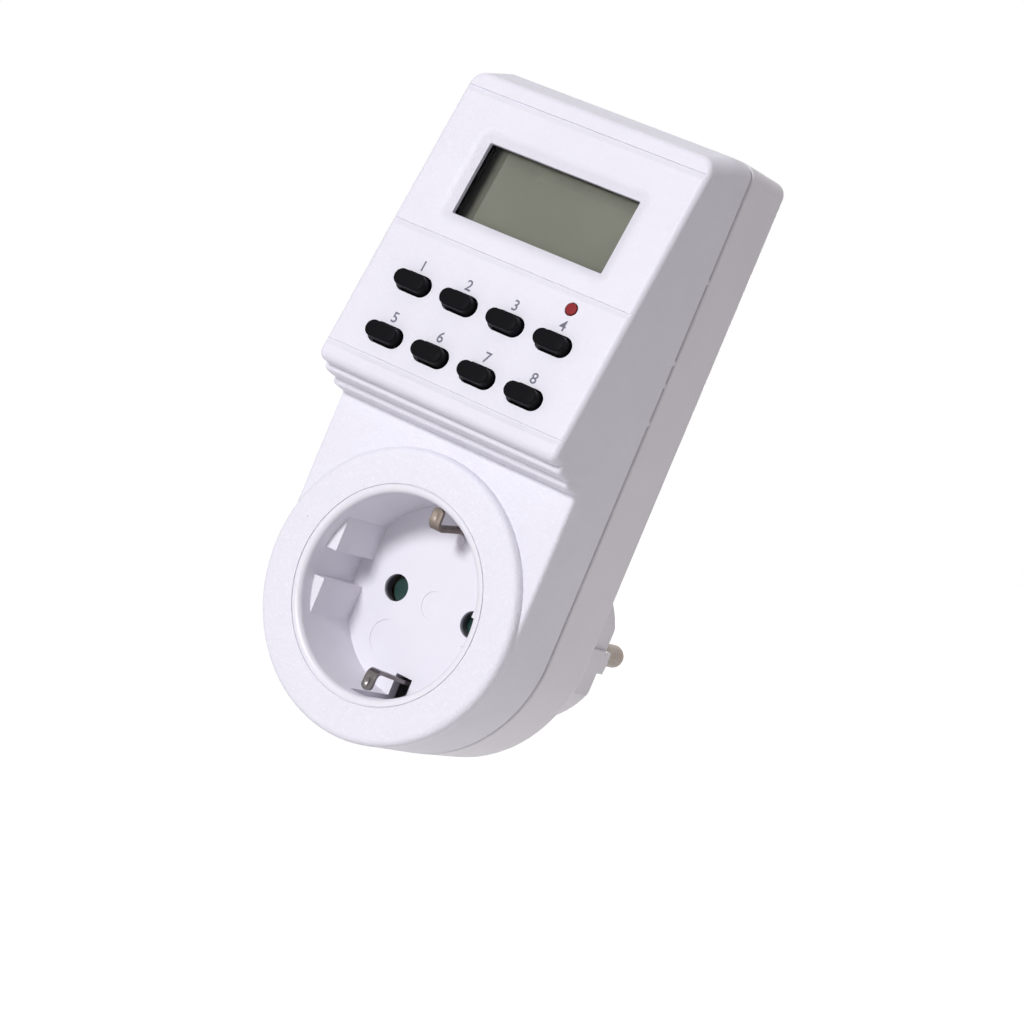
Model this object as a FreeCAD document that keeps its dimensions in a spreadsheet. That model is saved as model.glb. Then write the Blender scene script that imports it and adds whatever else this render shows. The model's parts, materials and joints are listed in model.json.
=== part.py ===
import FreeCAD, Part
import Sketcher
import math
import os
import re
from FreeCAD import Placement, Rotation, Vector

os.makedirs("parts", exist_ok=True)
doc = FreeCAD.newDocument("plug_in_timer")

# Axes: X is the width, Z runs up the case, the front faces -Y and the plug pins point along +Y.
# The origin is the middle of the plug's flat mating face. All sizes are in millimetres.

SIZES = [
    # Case
    ("ring_w", 9.0, "socket ring from the plug recess to the side of the case"),
    ("corner_r", 3.2, "round of the two top corners"),
    ("wall", 2.0, "wall of both shells"),
    ("edge_r", 0.8, "round of the front shell's long outer edges"),
    ("shell_depth", 17.4, "socket ring face back to the parting line"),
    ("cover_depth", 15.8, "parting line back to the rear wall"),
    ("cover_draft", 2.0, "degrees that the rear cover tapers in"),
    ("part_gap", 0.5, "open width of the parting groove"),
    ("shell_end_round", 0.7, "round of the front shell's edge at the parting groove"),
    ("cover_end_round", 0.4, "round of the rear cover's edge at the parting groove"),
    ("tongue_len", 2.2, "rim tongue of the rear cover"),
    ("tongue_t", 0.9, "thickness of the rim tongue"),
    ("tongue_gap", 0.1, "play round the rim tongue"),
    ("ring_step", 2.1, "raised socket ring above the lower plate"),
    ("ring_round", 1.3, "round of the raised ring's outer edge"),
    ("rear_round", 1.6, "round of the rear cover's rear edge"),
    # Tilted panel
    ("panel_rise", 41.5, "panel's reference point above the top of the socket ring"),
    ("panel_out", 3.54, "reference point in front of the socket ring face"),
    ("tilt", 11.8, "degrees that the panel leans back"),
    ("panel_up", 28.6, "reference point up the panel to its top edge"),
    ("top_run", 8.7, "sloped part of the top, measured to the rear"),
    ("top_rise", 2.1, "rise over that slope"),
    ("crown", 0.3, "last rise from the slope to the parting line"),
    ("step_run", 4.4, "depth of one step below the lip"),
    ("step_rise", 2.1, "height of one step below the lip"),
    ("step_lean", 1.0, "rise of a step's underside"),
    ("step_wall", 1.6, "least wall behind the steps"),
    ("lip_margin", 1.4, "control board's lower edge up to the lip, along the panel"),
    ("lip_rise", 0.8, "rise of the lip's underside"),
    ("lip_round", 1.6, "round of the lip"),
    ("brow_round", 1.2, "round of the panel's top edge"),
    ("step_round", 0.85, "round of each step's nose"),
    ("groove_deep", 0.35, "depth of the fine lines across the panel"),
    ("groove_w", 1.25, "height of the ramp under each fine line"),
    ("groove_top_in", 3.0, "upper fine line below the panel's top edge"),
    ("groove_mid", 3.8, "middle fine line below the reference point"),
    ("groove_low_in", 4.2, "lower fine line above the lip"),
    # Display
    ("win_side", 10.76, "display opening from the side of the case"),
    ("win_low", 1.25, "lower edge of the opening above the reference point"),
    ("win_high", 16.55, "upper edge of the opening above the reference point"),
    ("bevel_w", 2.05, "width of the sloped border beside and above the opening"),
    ("bevel_low", 1.55, "width of the sloped border below the opening"),
    ("win_corner", 0.3, "round corners of the opening"),
    ("bevel_corner", 2.0, "round corners of the sloped border's outer edge"),
    ("bevel_soft", 3.0, "round of that outer edge"),
    ("bevel_deep", 1.1, "depth of that sloped border"),
    ("pane_t", 0.9, "clear pane behind the opening"),
    ("pane_lap", 1.3, "lap of the pane behind the opening's edge"),
    ("glass_gap", 0.7, "pane to display glass"),
    ("glass_t", 2.8, "display glass with its polarisers"),
    ("glass_lap", 1.2, "display glass beyond the opening"),
    ("part_play", 0.1, "play of the display parts in their holder"),
    ("holder_t", 0.8, "wall of the display holder"),
    ("zebra_w", 1.8, "width of the rubber connector strip"),
    # Keys
    ("key_pitch", 11.1, "key spacing both ways"),
    ("key_row", 14.4, "upper key row below the reference point"),
    ("key_len", 7.3, "length of a key cap"),
    ("key_wid", 3.5, "width of a key cap"),
    ("key_gap", 0.4, "gap round a key cap"),
    ("reset_gap", 0.2, "gap round the reset pin"),
    ("key_out", 2.4, "key cap above the panel"),
    ("key_travel", 1.0, "travel of a key"),
    ("key_lap", 0.75, "lap of a key's collar behind the panel"),
    ("collar_t", 1.0, "thickness of a key's collar"),
    ("key_edge", 0.35, "round of a key cap's edge"),
    ("stem_r", 1.1, "radius of a key's plunger"),
    ("stem_len", 2.0, "plunger below the collar"),
    ("reset_x", 16.5, "reset button to the right of the middle"),
    ("reset_down", 7.2, "reset button below the reference point"),
    ("reset_r", 1.15, "radius of the reset button"),
    ("reset_out", 0.3, "reset button above the panel"),
    ("mat_t", 1.0, "base of the rubber key mat"),
    ("mat_edge", 0.45, "mat beyond the outermost domes"),
    ("dome_r", 2.4, "radius of a rubber dome"),
    ("dome_top_r", 1.4, "radius of a dome's flat top"),
    ("dome_clear", 0.08, "pressed plunger to dome"),
    # Boards
    ("board_deep", 9.5, "panel face to the control board"),
    ("board_t", 1.6, "thickness of both boards"),
    ("board_rim", 2.2, "control board beyond the middles of its screws"),
    ("board_over", 1.75, "control board above the display holder"),
    ("boss_gap", 0.5, "screw bosses to the display holder and to the keys"),
    ("boss_above", 0.95, "upper control board screws above the display opening"),
    ("boss_r", 2.2, "radius of the small screw bosses"),
    ("chip_r", 5.5, "radius of the sealed chip"),
    ("chip_top_r", 3.9, "radius of the sealed chip's top"),
    ("chip_up", 1.6, "height of the sealed chip"),
    ("chip_x", 9.0, "sealed chip to the right of the middle"),
    ("chip_down", 12.0, "sealed chip below the reference point"),
    ("crystal_len", 10.6, "length of the clock crystal's can"),
    ("crystal_wid", 4.4, "width of the clock crystal's can"),
    ("crystal_up", 3.4, "height of the clock crystal's can"),
    ("crystal_down", 26.0, "clock crystal below the reference point"),
    ("cell_r", 5.75, "radius of the backup cell"),
    ("cell_t", 5.4, "thickness of the backup cell"),
    ("cell_x", 16.0, "backup cell to the left of the middle"),
    ("cell_down", 18.0, "backup cell below the reference point"),
    ("tab_t", 0.3, "sheet of the cell's tabs"),
    ("tab_gap", 0.4, "play between the cell and its bent tab"),
    ("tab_w", 4.0, "width of the cell's tabs"),
    ("ribbon_x", 15.5, "ribbon cable to the right of the middle"),
    ("ribbon_w", 8.0, "width of the ribbon cable"),
    ("ribbon_t", 0.9, "thickness of the ribbon cable"),
    ("ribbon_down", 29.0, "ribbon cable's front end below the reference point"),
    ("ribbon_up", 5.5, "ribbon cable's rear end above the power board's lower edge"),
    ("ribbon_bend", 2.0, "bend radius of the ribbon cable"),
    ("small_screw_r", 1.0, "radius of the small screws"),
    ("small_screw_len", 6.0, "length of the small screws"),
    ("flange_screw_len", 4.5, "length of the flange screws"),
    ("power_side", 2.5, "power board to the side walls of the front shell"),
    ("power_above", 3.0, "power board above the top of the socket ring"),
    ("power_below", 10.9, "power board below the top of the case"),
    ("power_stand", 4.0, "power board above the rear wall"),
    ("power_screw_in", 3.1, "power board screws from its edges"),
    # Socket
    ("recess_r", 19.5, "radius of the plug recess"),
    ("recess_deep", 17.5, "depth of the plug recess"),
    ("cup_wall", 1.55, "wall of the socket cup"),
    ("cup_gap", 0.25, "ring gap between socket cup and front shell"),
    ("mouth_round", 1.1, "round of the recess mouth"),
    ("floor_t", 2.5, "floor of the socket cup"),
    ("flange_gap", 1.3, "cup's flange to the side of the front shell"),
    ("flange_t", 1.5, "thickness of the cup's flange"),
    ("guide_x", 16.8, "flat guides from the middle"),
    ("guide_in", 3.9, "guides below the recess mouth"),
    ("guide_slot", 5.8, "slot between the two guides of a side"),
    ("pin_pitch", 19.0, "spacing of the pins and of their holes"),
    ("pin_hole_r", 2.7, "radius of the socket's pin holes"),
    ("clip_slot_w", 3.8, "width of the slots for the earth clips"),
    ("clip_slot_in", 14.8, "inner end of those slots from the middle"),
    ("clip_relief", 0.9, "depth of the relief in the wall behind a clip"),
    ("flange_screw_out", 2.25, "flange screws beyond the cup's wall"),
    ("mark_r", 2.9, "radius of the round mark in the middle of the floor"),
    ("mark_deep", 0.15, "depth of the round marks in the floor"),
    ("gate_x", 7.4, "second round mark to the left of the middle"),
    ("gate_z", 9.75, "second round mark below the middle"),
    ("gate_r", 3.65, "radius of the second round mark"),
    ("pip_z", 13.5, "small pip above the middle of the floor"),
    ("pip_r", 1.0, "radius of that pip"),
    ("pip_up", 0.3, "height of that pip"),
    # Contacts
    ("shutter_t", 2.0, "thickness of the child shutter"),
    ("shutter_gap", 0.2, "play of the shutter behind the floor"),
    ("shutter_lobe", 2.9, "radius of a shutter lobe"),
    ("shutter_reach", 8.7, "shutter axis to the middle of a lobe"),
    ("shutter_arm", 4.0, "width of the shutter's arms"),
    ("hub_r", 3.4, "radius of the shutter's hub"),
    ("spigot_r", 2.0, "radius of the shutter's spigot"),
    ("shoulder_r", 2.9, "radius of the shoulder under the shutter"),
    ("spring_r", 3.6, "radius of the shutter spring"),
    ("spring_wire", 0.2, "wire radius of the shutter spring"),
    ("spring_pitch", 0.6, "rise of one turn of the shutter spring"),
    ("spigot_gap", 0.3, "play of the shutter on its spigot"),
    ("shutter_room", 4.1, "room for the shutter behind the floor"),
    ("carrier_t", 3.0, "plate of the contact carrier"),
    ("carrier_in", 0.1, "contact carrier's ends inside the recess radius"),
    ("carrier_z", 12.0, "half the height of the contact carrier"),
    ("foot_t", 1.5, "thickness of the carrier's two feet"),
    ("foot_z", 6.0, "half the width of the carrier's two feet"),
    ("tower_x", 4.6, "half the width of a contact tower"),
    ("tower_z", 5.6, "half the height of a contact tower"),
    ("tower_len", 9.9, "length of a contact tower"),
    ("tower_front", 1.2, "front wall of a contact tower"),
    ("tower_t", 1.1, "wall of a contact tower"),
    ("tower_hole_r", 2.9, "radius of the pin holes in the contact towers"),
    ("contact_lap", 0.7, "lap of a contact on the tower's end"),
    ("contact_w", 6.0, "width of a socket contact"),
    ("contact_t", 0.6, "sheet of a socket contact"),
    ("contact_gap", 0.05, "play of a contact in its tower"),
    ("contact_pinch", 2.5, "narrowest place of a contact behind its mouth"),
    ("contact_grip", 4.5, "inner gap of a socket contact"),
    ("carrier_screw_x", 16.2, "carrier screws from the middle"),
    ("carrier_screw_z", 9.3, "carrier screws above and below the middle"),
    # Plug
    ("plug_r", 18.5, "radius of the plug body"),
    ("plug_len", 18.2, "length of the plug body"),
    ("plug_edge", 0.6, "round of the plug body's face edge"),
    ("plug_flat", 16.9, "flat sides of the plug body from the middle"),
    ("plug_key", 4.6, "width of the ridge on each flat side"),
    ("plug_face_t", 3.2, "face wall of the plug"),
    ("plug_hollow_r", 15.6, "radius of the room inside the plug"),
    ("plug_hollow_z", 13.4, "half the height of the room inside the plug"),
    ("collar_r", 20.5, "radius of the collar under the plug body"),
    ("collar_len", 6.0, "length of that collar"),
    ("collar_wall", 2.0, "wall of that collar"),
    ("pin_r", 2.4, "radius of a plug pin"),
    ("pin_len", 19.0, "plug pin in front of the plug's face"),
    ("pin_tip", 2.0, "round of a pin's tip"),
    ("shank_r", 2.6, "radius of a pin's shank in the face wall"),
    ("shank_gap", 0.05, "play of the shank in its hole"),
    ("head_r", 3.4, "radius of a pin's head behind the face wall"),
    ("head_t", 1.5, "thickness of a pin's head"),
    ("stud_r", 1.6, "radius of a pin's wiring stud"),
    ("stud_len", 4.8, "length of a pin's wiring stud"),
    ("retainer_t", 2.0, "plate that holds the pins"),
    ("retainer_x", 13.6, "half the width of that plate"),
    ("retainer_z", 4.4, "half the height of that plate"),
    ("earth_hole_z", 10.0, "earth pin hole above the pin line"),
    ("earth_hole_r", 2.8, "radius of the earth pin hole"),
    ("earth_sleeve_t", 0.7, "wall of the earth pin sleeve"),
    ("sleeve_gap", 0.05, "play of an earth pin in its sleeve"),
    ("earth_sleeve_len", 12.0, "length of the earth pin sleeve"),
    ("strap_z", 15.3, "inner face of the earth straps from the middle"),
    ("strap_t", 0.8, "sheet of the earth straps"),
    ("strap_w", 5.6, "width of the earth straps in the plug"),
    ("clip_w", 2.4, "width of the earth clips in the recess"),
    ("clip_lean", 1.1, "how far a clip leans in at its front"),
    ("clip_front", 6.3, "front of a clip behind the ring face"),
    ("clip_bend", 1.5, "bend radius of a clip's nose"),
    ("clip_tail", 2.6, "straight end of a clip's nose"),
    ("clip_push", 0.2, "how far the end of a clip's nose stands in front of its bend"),
    ("clip_tip", 1.0, "round of the corners at the end of a clip's nose"),
    ("strap_end", 0.8, "end of an earth strap behind the plug's face"),
    ("groove_side", 0.4, "play beside an earth strap"),
    ("bridge_w", 4.8, "width of the strip that joins the earth straps"),
    ("bridge_y", 22.8, "that strip behind the plug's face"),
    # Fasteners
    ("cover_screw_r", 1.45, "radius of the cover screws"),
    ("cover_head_r", 2.6, "head radius of the cover screws"),
    ("cover_head_t", 1.8, "head height of the cover screws"),
    ("cover_screw_len", 11.5, "length of the cover screws"),
    ("pilot_spare", 0.5, "pilot holes deeper than their screws"),
    ("screw_gap", 0.05, "play of a screw in its boss"),
    ("top_screw_in", 5.6, "upper cover screws from the sides and the top of the case"),
    ("cover_boss_r", 2.4, "radius of the cover screw bosses"),
    ("well_r", 2.8, "radius of the screw wells in the rear cover"),
    ("well_t", 0.85, "wall of the screw wells"),
    ("well_floor", 2.2, "floor of the screw wells"),
    ("low_boss_out", 3.4, "lower bosses beyond the parting line"),
    ("hole_gap", 0.3, "play of a screw in a clearance hole"),
    ("notch_gap", 0.4, "play of the cup's flange round the lower bosses"),
    ("retainer_screw_len", 5.0, "length of the screw that holds the pins' plate"),
    ("small_head_r", 1.9, "head radius of the small screws"),
    ("small_head_t", 1.3, "head height of the small screws"),
    ("slot_w", 0.6, "width of the screws' cross slots"),
    ("slot_rim", 0.7, "rim of a screw head beyond its cross slots"),
    ("slot_deep", 0.8, "depth of the screws' cross slots"),
    # Power parts
    ("relay_w", 19.0, "relay across the case"),
    ("relay_d", 15.4, "relay up the case"),
    ("relay_h", 15.2, "relay above its board"),
    ("relay_up", 17.0, "middle of the relay above the power board's lower edge"),
    ("relay_base_t", 2.2, "base plate of the relay"),
    ("relay_case_t", 0.6, "wall of the relay case"),
    ("relay_case_gap", 0.2, "case wall to the base plate's edge"),
    ("yoke_t", 1.0, "thickness of the relay yoke and armature"),
    ("yoke_x", 6.9, "armature pivot to the left of the coil"),
    ("pivot_in", 0.2, "armature pivot behind the armature's back face"),
    ("pivot_gap", 0.05, "play of the armature on its round pivot edge"),
    ("coil_r", 4.1, "radius of the relay coil"),
    ("coil_len", 6.6, "length of the relay coil"),
    ("core_r", 1.6, "radius of the coil's core"),
    ("coil_gap", 0.1, "play of the core in the coil"),
    ("core_out", 0.3, "coil's core beyond the winding"),
    ("armature_lift", 0.6, "open armature above the core"),
    ("armature_w", 8.0, "width of the armature"),
    ("armature_reach", 7.6, "armature tip to the right of the coil"),
    ("contact_travel", 0.75, "travel of the switched contact"),
    ("button_r", 1.1, "radius of the contact buttons"),
    ("film_w", 18.0, "dropper capacitor across the case"),
    ("film_d", 8.0, "dropper capacitor up the case"),
    ("film_h", 14.0, "dropper capacitor above the board"),
    ("film_x", 13.0, "dropper capacitor to the left of the middle"),
    ("film_up", 32.5, "dropper capacitor above the power board's lower edge"),
    ("can_r", 4.0, "radius of the filter capacitor"),
    ("can_h", 12.0, "height of the filter capacitor"),
    ("can_x", 15.0, "filter capacitor to the right of the middle"),
    ("can_up", 33.5, "filter capacitor above the power board's lower edge"),
    ("disc_r", 4.5, "radius of the varistor"),
    ("disc_t", 3.6, "thickness of the varistor"),
    ("disc_x", 14.0, "varistor to the left of the middle"),
    ("disc_up", 44.5, "varistor above the power board's lower edge"),
    ("lead_r", 0.35, "radius of the component leads"),
    ("rail_r", 0.25, "radius of the diodes' and resistors' own leads"),
    ("lead_up", 1.5, "components on leads above the board"),
    ("fuse_r", 2.2, "radius of the fuse's tube"),
    ("fuse_len", 14.0, "length of the fuse's tube"),
    ("fuse_cap_r", 2.5, "radius of the fuse's caps"),
    ("fuse_cap", 3.5, "length of a fuse cap"),
    ("fuse_up", 52.0, "fuse above the power board's lower edge"),
    ("diode_r", 1.3, "radius of the diodes"),
    ("diode_len", 4.8, "length of the diodes"),
    ("diode_pitch", 4.4, "spacing of the diodes"),
    ("diode_up", 44.0, "diodes above the power board's lower edge"),
    ("resistor_r", 1.2, "radius of the resistors"),
    ("resistor_len", 6.4, "length of the resistors"),
    ("resistor_up", 32.5, "resistors above the power board's lower edge"),
    ("wire_up", 3.0, "mains wires above the power board's lower edge"),
    ("wire_lift", 9.5, "height of the mains wires above the contacts"),
    ("wire_back", 1.3, "mains wires in front of the rear wall"),
    ("link_x", 5.5, "switched wire to the left of the middle"),
    ("solder_z", 3.8, "wire end on a contact above the pin line"),
    ("wire_r", 0.75, "radius of the mains wires"),
    ("wire_bend", 1.6, "bend radius of the mains wires"),
]

# Sheet of driving sizes

sheet = doc.addObject("Spreadsheet::Sheet", "sizes")
for row, (alias, number, meaning) in enumerate(SIZES, start=1):
    sheet.set("A%d" % row, meaning)
    sheet.set("B%d" % row, str(number))
    sheet.setAlias("B%d" % row, alias)
SIZE_NAMES = [alias for alias, number, meaning in SIZES]
doc.recompute()

# Places that follow from the sizes

LEVELS = [
    ("half_w", "recess_r + ring_w", "half the width of the case, radius of its round lower end"),
    ("rear_y", "-plug_len - collar_len", "rear wall"),
    ("part_y", "rear_y - cover_depth", "parting line"),
    ("ring_y", "part_y - shell_depth", "face of the socket ring"),
    ("plate_y", "ring_y + ring_step", "face of the lower plate"),
    ("plate_in", "plate_y + wall", "inside of the lower plate"),
    ("floor_y", "ring_y + recess_deep", "floor of the plug recess"),
    ("floor_back", "floor_y + floor_t", "back of that floor"),
    ("carrier_y", "floor_back + shutter_room", "front of the contact carrier's plate"),
    ("carrier_x", "recess_r - carrier_in", "half the width of the contact carrier"),
    ("tower_y", "carrier_y + carrier_t + tower_len", "rear end of the contact towers"),
    ("win_half", "half_w - win_side", "half the width of the display opening"),
    ("holder_half", "win_half + glass_lap + part_play + holder_t", "half the display holder"),
    ("holder_top", "win_high + glass_lap + part_play + holder_t", "top of the display holder"),
    ("boss_u", "holder_half + boss_gap + boss_r", "control board screws from the middle"),
    ("boss_up", "win_high + boss_above", "upper control board screws"),
    ("boss_down", "key_row + key_pitch + key_wid / 2 + key_lap + boss_gap + boss_r",
     "lower control board screws, measured down"),
    ("board_half", "boss_u + board_rim", "half the width of the control board"),
    ("board_up", "holder_top + board_over", "top of the control board"),
    ("board_down", "boss_down + board_rim", "foot of the control board, measured down"),
    ("panel_down", "board_down + lip_margin", "reference point down the panel to the lip"),
    ("panel_ref", "half_w + panel_rise", "height of the panel's reference point"),
    ("panel_y", "ring_y - panel_out", "panel's reference point"),
    ("lip_y", "panel_y - panel_down * sin(tilt)", "lip"),
    ("lip_z", "panel_ref - panel_down * cos(tilt)", "lip"),
    ("step_z", "lip_z - lip_rise - 2 * step_rise", "top of the lower plate, foot of the steps"),
    ("brow_y", "panel_y + panel_up * sin(tilt)", "panel's top edge"),
    ("brow_z", "panel_ref + panel_up * cos(tilt)", "panel's top edge"),
    ("top_z", "brow_z + top_rise + crown", "top at the parting line"),
    ("groove_top", "panel_up - groove_top_in", "upper fine line"),
    ("groove_low", "panel_down - groove_low_in", "lower fine line, measured down"),
    ("shell_end", "part_y - part_gap / 2", "front shell's rear edge"),
    ("lip_t", "wall - tongue_t - tongue_gap", "front shell's rim outside the tongue"),
    ("skin", "wall / cos(tilt)", "panel wall measured along Y"),
    ("step_in", "step_z + step_wall * sqrt(1 + (step_rise / step_run) ^ 2)", "inside of the steps"),
    ("heel_z", "(step_in + (step_rise / step_run) * (plate_y - panel_y - skin + panel_ref"
     " * tan(tilt))) / (1 + (step_rise / step_run) * tan(tilt))", "inside of the lip"),
    ("cup_r", "recess_r + cup_wall", "outside of the socket cup"),
    ("flange_r", "half_w - wall - flange_gap", "radius of the cup's flange"),
    ("flange_screw_x", "cup_r + flange_screw_out", "flange screws from the middle"),
    ("low_screw", "(cup_r + cup_gap + half_w - wall) / 2 * sqrt(0.5)",
     "lower cover screws, midway between cup and case, across and down"),
    ("top_screw_x", "half_w - top_screw_in", "upper cover screws from the middle"),
    ("top_screw_z", "top_z - top_screw_in", "height of the upper cover screws"),
    ("well_end", "part_y + low_boss_out", "foot of the lower wells"),
    ("power_y", "rear_y - wall - power_stand", "back of the power board"),
    ("power_face", "power_y - board_t", "front of the power board"),
    ("power_half", "half_w - wall - power_side", "half the width of the power board"),
    ("power_low", "half_w + power_above", "lower edge of the power board"),
    ("power_high", "top_z - power_below", "upper edge of the power board"),
    ("relay_z", "power_low + relay_up", "middle of the relay"),
    ("film_z", "power_low + film_up", "middle of the dropper capacitor"),
    ("can_z", "power_low + can_up", "middle of the filter capacitor"),
    ("disc_z", "power_low + disc_up", "middle of the varistor"),
    ("fuse_z", "power_low + fuse_up", "middle of the fuse"),
    ("diode_z", "power_low + diode_up", "middle of the diodes"),
    ("resistor_z", "power_low + resistor_up", "middle of the resistors"),
    ("wire_z", "power_low + wire_up", "mains wires on the board"),
    ("ribbon_z", "power_low + ribbon_up", "rear end of the ribbon cable"),
    ("board_back", "board_deep + board_t", "back of the control board"),
]
levels = doc.addObject("App::VarSet", "levels")
LEVEL_NAMES = []


def spell(formula):
    """Write a formula with the full names of the sheet's cells and of the derived places."""
    def full(match):
        word = match.group(0)
        if word in SIZE_NAMES:
            return "sizes." + word
        if word in LEVEL_NAMES:
            return "levels." + word
        return word
    text = re.sub(r"\b(cos|sin|tan)\(tilt\)", r"\1(sizes.tilt * 1deg)", str(formula))
    return re.sub(r"(?<![.\w])[a-z]\w*", full, text)


for name, formula, meaning in LEVELS:
    levels.addProperty("App::PropertyFloat", name, "places", meaning)
    levels.setExpression(name, spell(formula))
    LEVEL_NAMES.append(name)
doc.recompute()


class Numbers:
    """Plain values of the sheet and of the derived places, for the freely bent pieces."""

    def __getattr__(self, word):
        if word in SIZE_NAMES:
            return float(sheet.get(word))
        return float(getattr(levels, word))


n = Numbers()

# Helpers: formulas, placements and primitives

TURN = {
    "+Z": Rotation(),
    "-Z": Rotation(Vector(1, 0, 0), 180),
    "+Y": Rotation(Vector(1, 0, 0), -90),
    "-Y": Rotation(Vector(1, 0, 0), 90),
    "+X": Rotation(Vector(0, 1, 0), 90),
    "-X": Rotation(Vector(0, 1, 0), -90),
}


def bind(thing, **formulas):
    for path, formula in formulas.items():
        thing.setExpression(path.replace("_of_", "."), spell(formula))
    return thing


def put(thing, x="0", y="0", z="0"):
    for axis, formula in zip("xyz", (x, y, z)):
        thing.setExpression("Placement.Base." + axis, spell(formula))
    return thing


def box(name, corner, size):
    thing = doc.addObject("Part::Box", name)
    bind(thing, Length=size[0], Width=size[1], Height=size[2])
    return put(thing, *corner)


def mid_box(name, middle, size):
    """A box centred on its X and its third coordinate, starting at the second one."""
    corner = ("%s - (%s) / 2" % (middle[0], size[0]), middle[1],
              "%s - (%s) / 2" % (middle[2], size[2]))
    return box(name, corner, size)


def rod(name, start, along, r, length):
    thing = doc.addObject("Part::Cylinder", name)
    thing.Placement = Placement(Vector(), TURN[along])
    bind(thing, Radius=r, Height=length)
    return put(thing, *start)


def cone(name, start, along, r1, r2, length):
    thing = doc.addObject("Part::Cone", name)
    thing.Placement = Placement(Vector(), TURN[along])
    bind(thing, Radius1=r1, Radius2=r2, Height=length)
    return put(thing, *start)


def fuse(name, *pieces):
    thing = doc.addObject("Part::MultiFuse", name)
    thing.Shapes = list(pieces)
    return thing


def cut(name, base, *tools):
    thing = doc.addObject("Part::Cut", name)
    thing.Base = base
    thing.Tool = tools[0] if len(tools) == 1 else fuse(name + "_tools", *tools)
    return thing


def common(name, first, second):
    thing = doc.addObject("Part::Common", name)
    thing.Base = first
    thing.Tool = second
    return thing


def group(name, *pieces):
    thing = doc.addObject("Part::Compound", name)
    thing.Links = list(pieces)
    return thing


PARTS = []


def keep(thing, label):
    """Mark an object as one sub-part of the timer."""
    thing.Label = label
    PARTS.append(thing)
    return thing


def on_panel(thing):
    """Seat an object on the tilted panel: X across, Y up the panel, Z out of it."""
    thing.Placement = Placement(Vector(), Rotation(Vector(1, 0, 0), 90))
    thing.setExpression("Placement.Rotation.Angle", spell("90 - tilt"))
    return put(thing, "0", "panel_y", "panel_ref")


# Helpers: bodies, sketches and their features


def new_body(label):
    body = doc.addObject("PartDesign::Body", label + "_body")
    return keep(body, label)


def plane_of(body, role):
    for datum in body.Origin.OriginFeatures:
        if datum.Role == role:
            return datum


def new_sketch(body, name, role, lift="0"):
    sketch = body.newObject("Sketcher::SketchObject", name)
    sketch.AttachmentSupport = [(plane_of(body, role), "")]
    sketch.MapMode = "FlatFace"
    sketch.setExpression("AttachmentOffset.Base.z", spell(lift))
    return sketch


def panel_sketch(body, name, lift="0"):
    """A sketch parallel to the tilted panel, in a body that stands in the case's own frame."""
    sketch = new_sketch(body, name, "XZ_Plane")
    sketch.AttachmentOffset = Placement(Vector(), Rotation(Vector(1, 0, 0), -10))
    sketch.setExpression("AttachmentOffset.Rotation.Angle", spell("-tilt"))
    sketch.setExpression("AttachmentOffset.Base.y", spell("panel_ref + (%s) * sin(tilt)" % lift))
    sketch.setExpression("AttachmentOffset.Base.z", spell("-panel_y + (%s) * cos(tilt)" % lift))
    return sketch


def worth(formula):
    """The number that a formula gives with the present sizes."""
    answer = levels.evalExpression(spell(formula))
    return float(getattr(answer, "Value", answer))


def spot(x, y):
    return Vector(worth(x), worth(y), 0)


def hold(sketch, kind, *geometry, formula):
    """Add a driving dimension that is bound to a formula."""
    number = sketch.addConstraint(Sketcher.Constraint(kind, *geometry, worth(formula)))
    sketch.setExpression("Constraints[%d]" % number, spell(formula))


def tie(sketch, kind, *geometry):
    sketch.addConstraint(Sketcher.Constraint(kind, *geometry))


def fix_point(sketch, index, end, x, y):
    """Tie one point of a sketch to its place by two driving distances."""
    hold(sketch, "DistanceX", -1, 1, index, end, formula=x)
    hold(sketch, "DistanceY", -1, 1, index, end, formula=y)


def draw_line(sketch, start, end):
    return sketch.addGeometry(Part.LineSegment(start, end))


def draw_arc(sketch, center, r, start, end):
    """Part of a circle, from one angle to another in quarter turns."""
    circle = Part.Circle(center, Vector(0, 0, 1), r)
    return sketch.addGeometry(Part.ArcOfCircle(circle, start * math.pi / 2, end * math.pi / 2))


def chain(sketch, pieces):
    """Join the end of each piece to the start of the next, all the way round."""
    for before, after in zip(pieces, pieces[1:] + pieces[:1]):
        tie(sketch, "Coincident", before, 2, after, 1)


def draw_loop(sketch, corners):
    """A closed outline of straight lines through the given corners."""
    spots = [spot(x, y) for x, y in corners]
    lines = [draw_line(sketch, a, b) for a, b in zip(spots, spots[1:] + spots[:1])]
    chain(sketch, lines)
    for line, (x, y) in zip(lines, corners):
        fix_point(sketch, line, 1, x, y)


def draw_rectangle(sketch, x0, y0, x1, y1):
    draw_loop(sketch, [(x0, y0), (x1, y0), (x1, y1), (x0, y1)])


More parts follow.
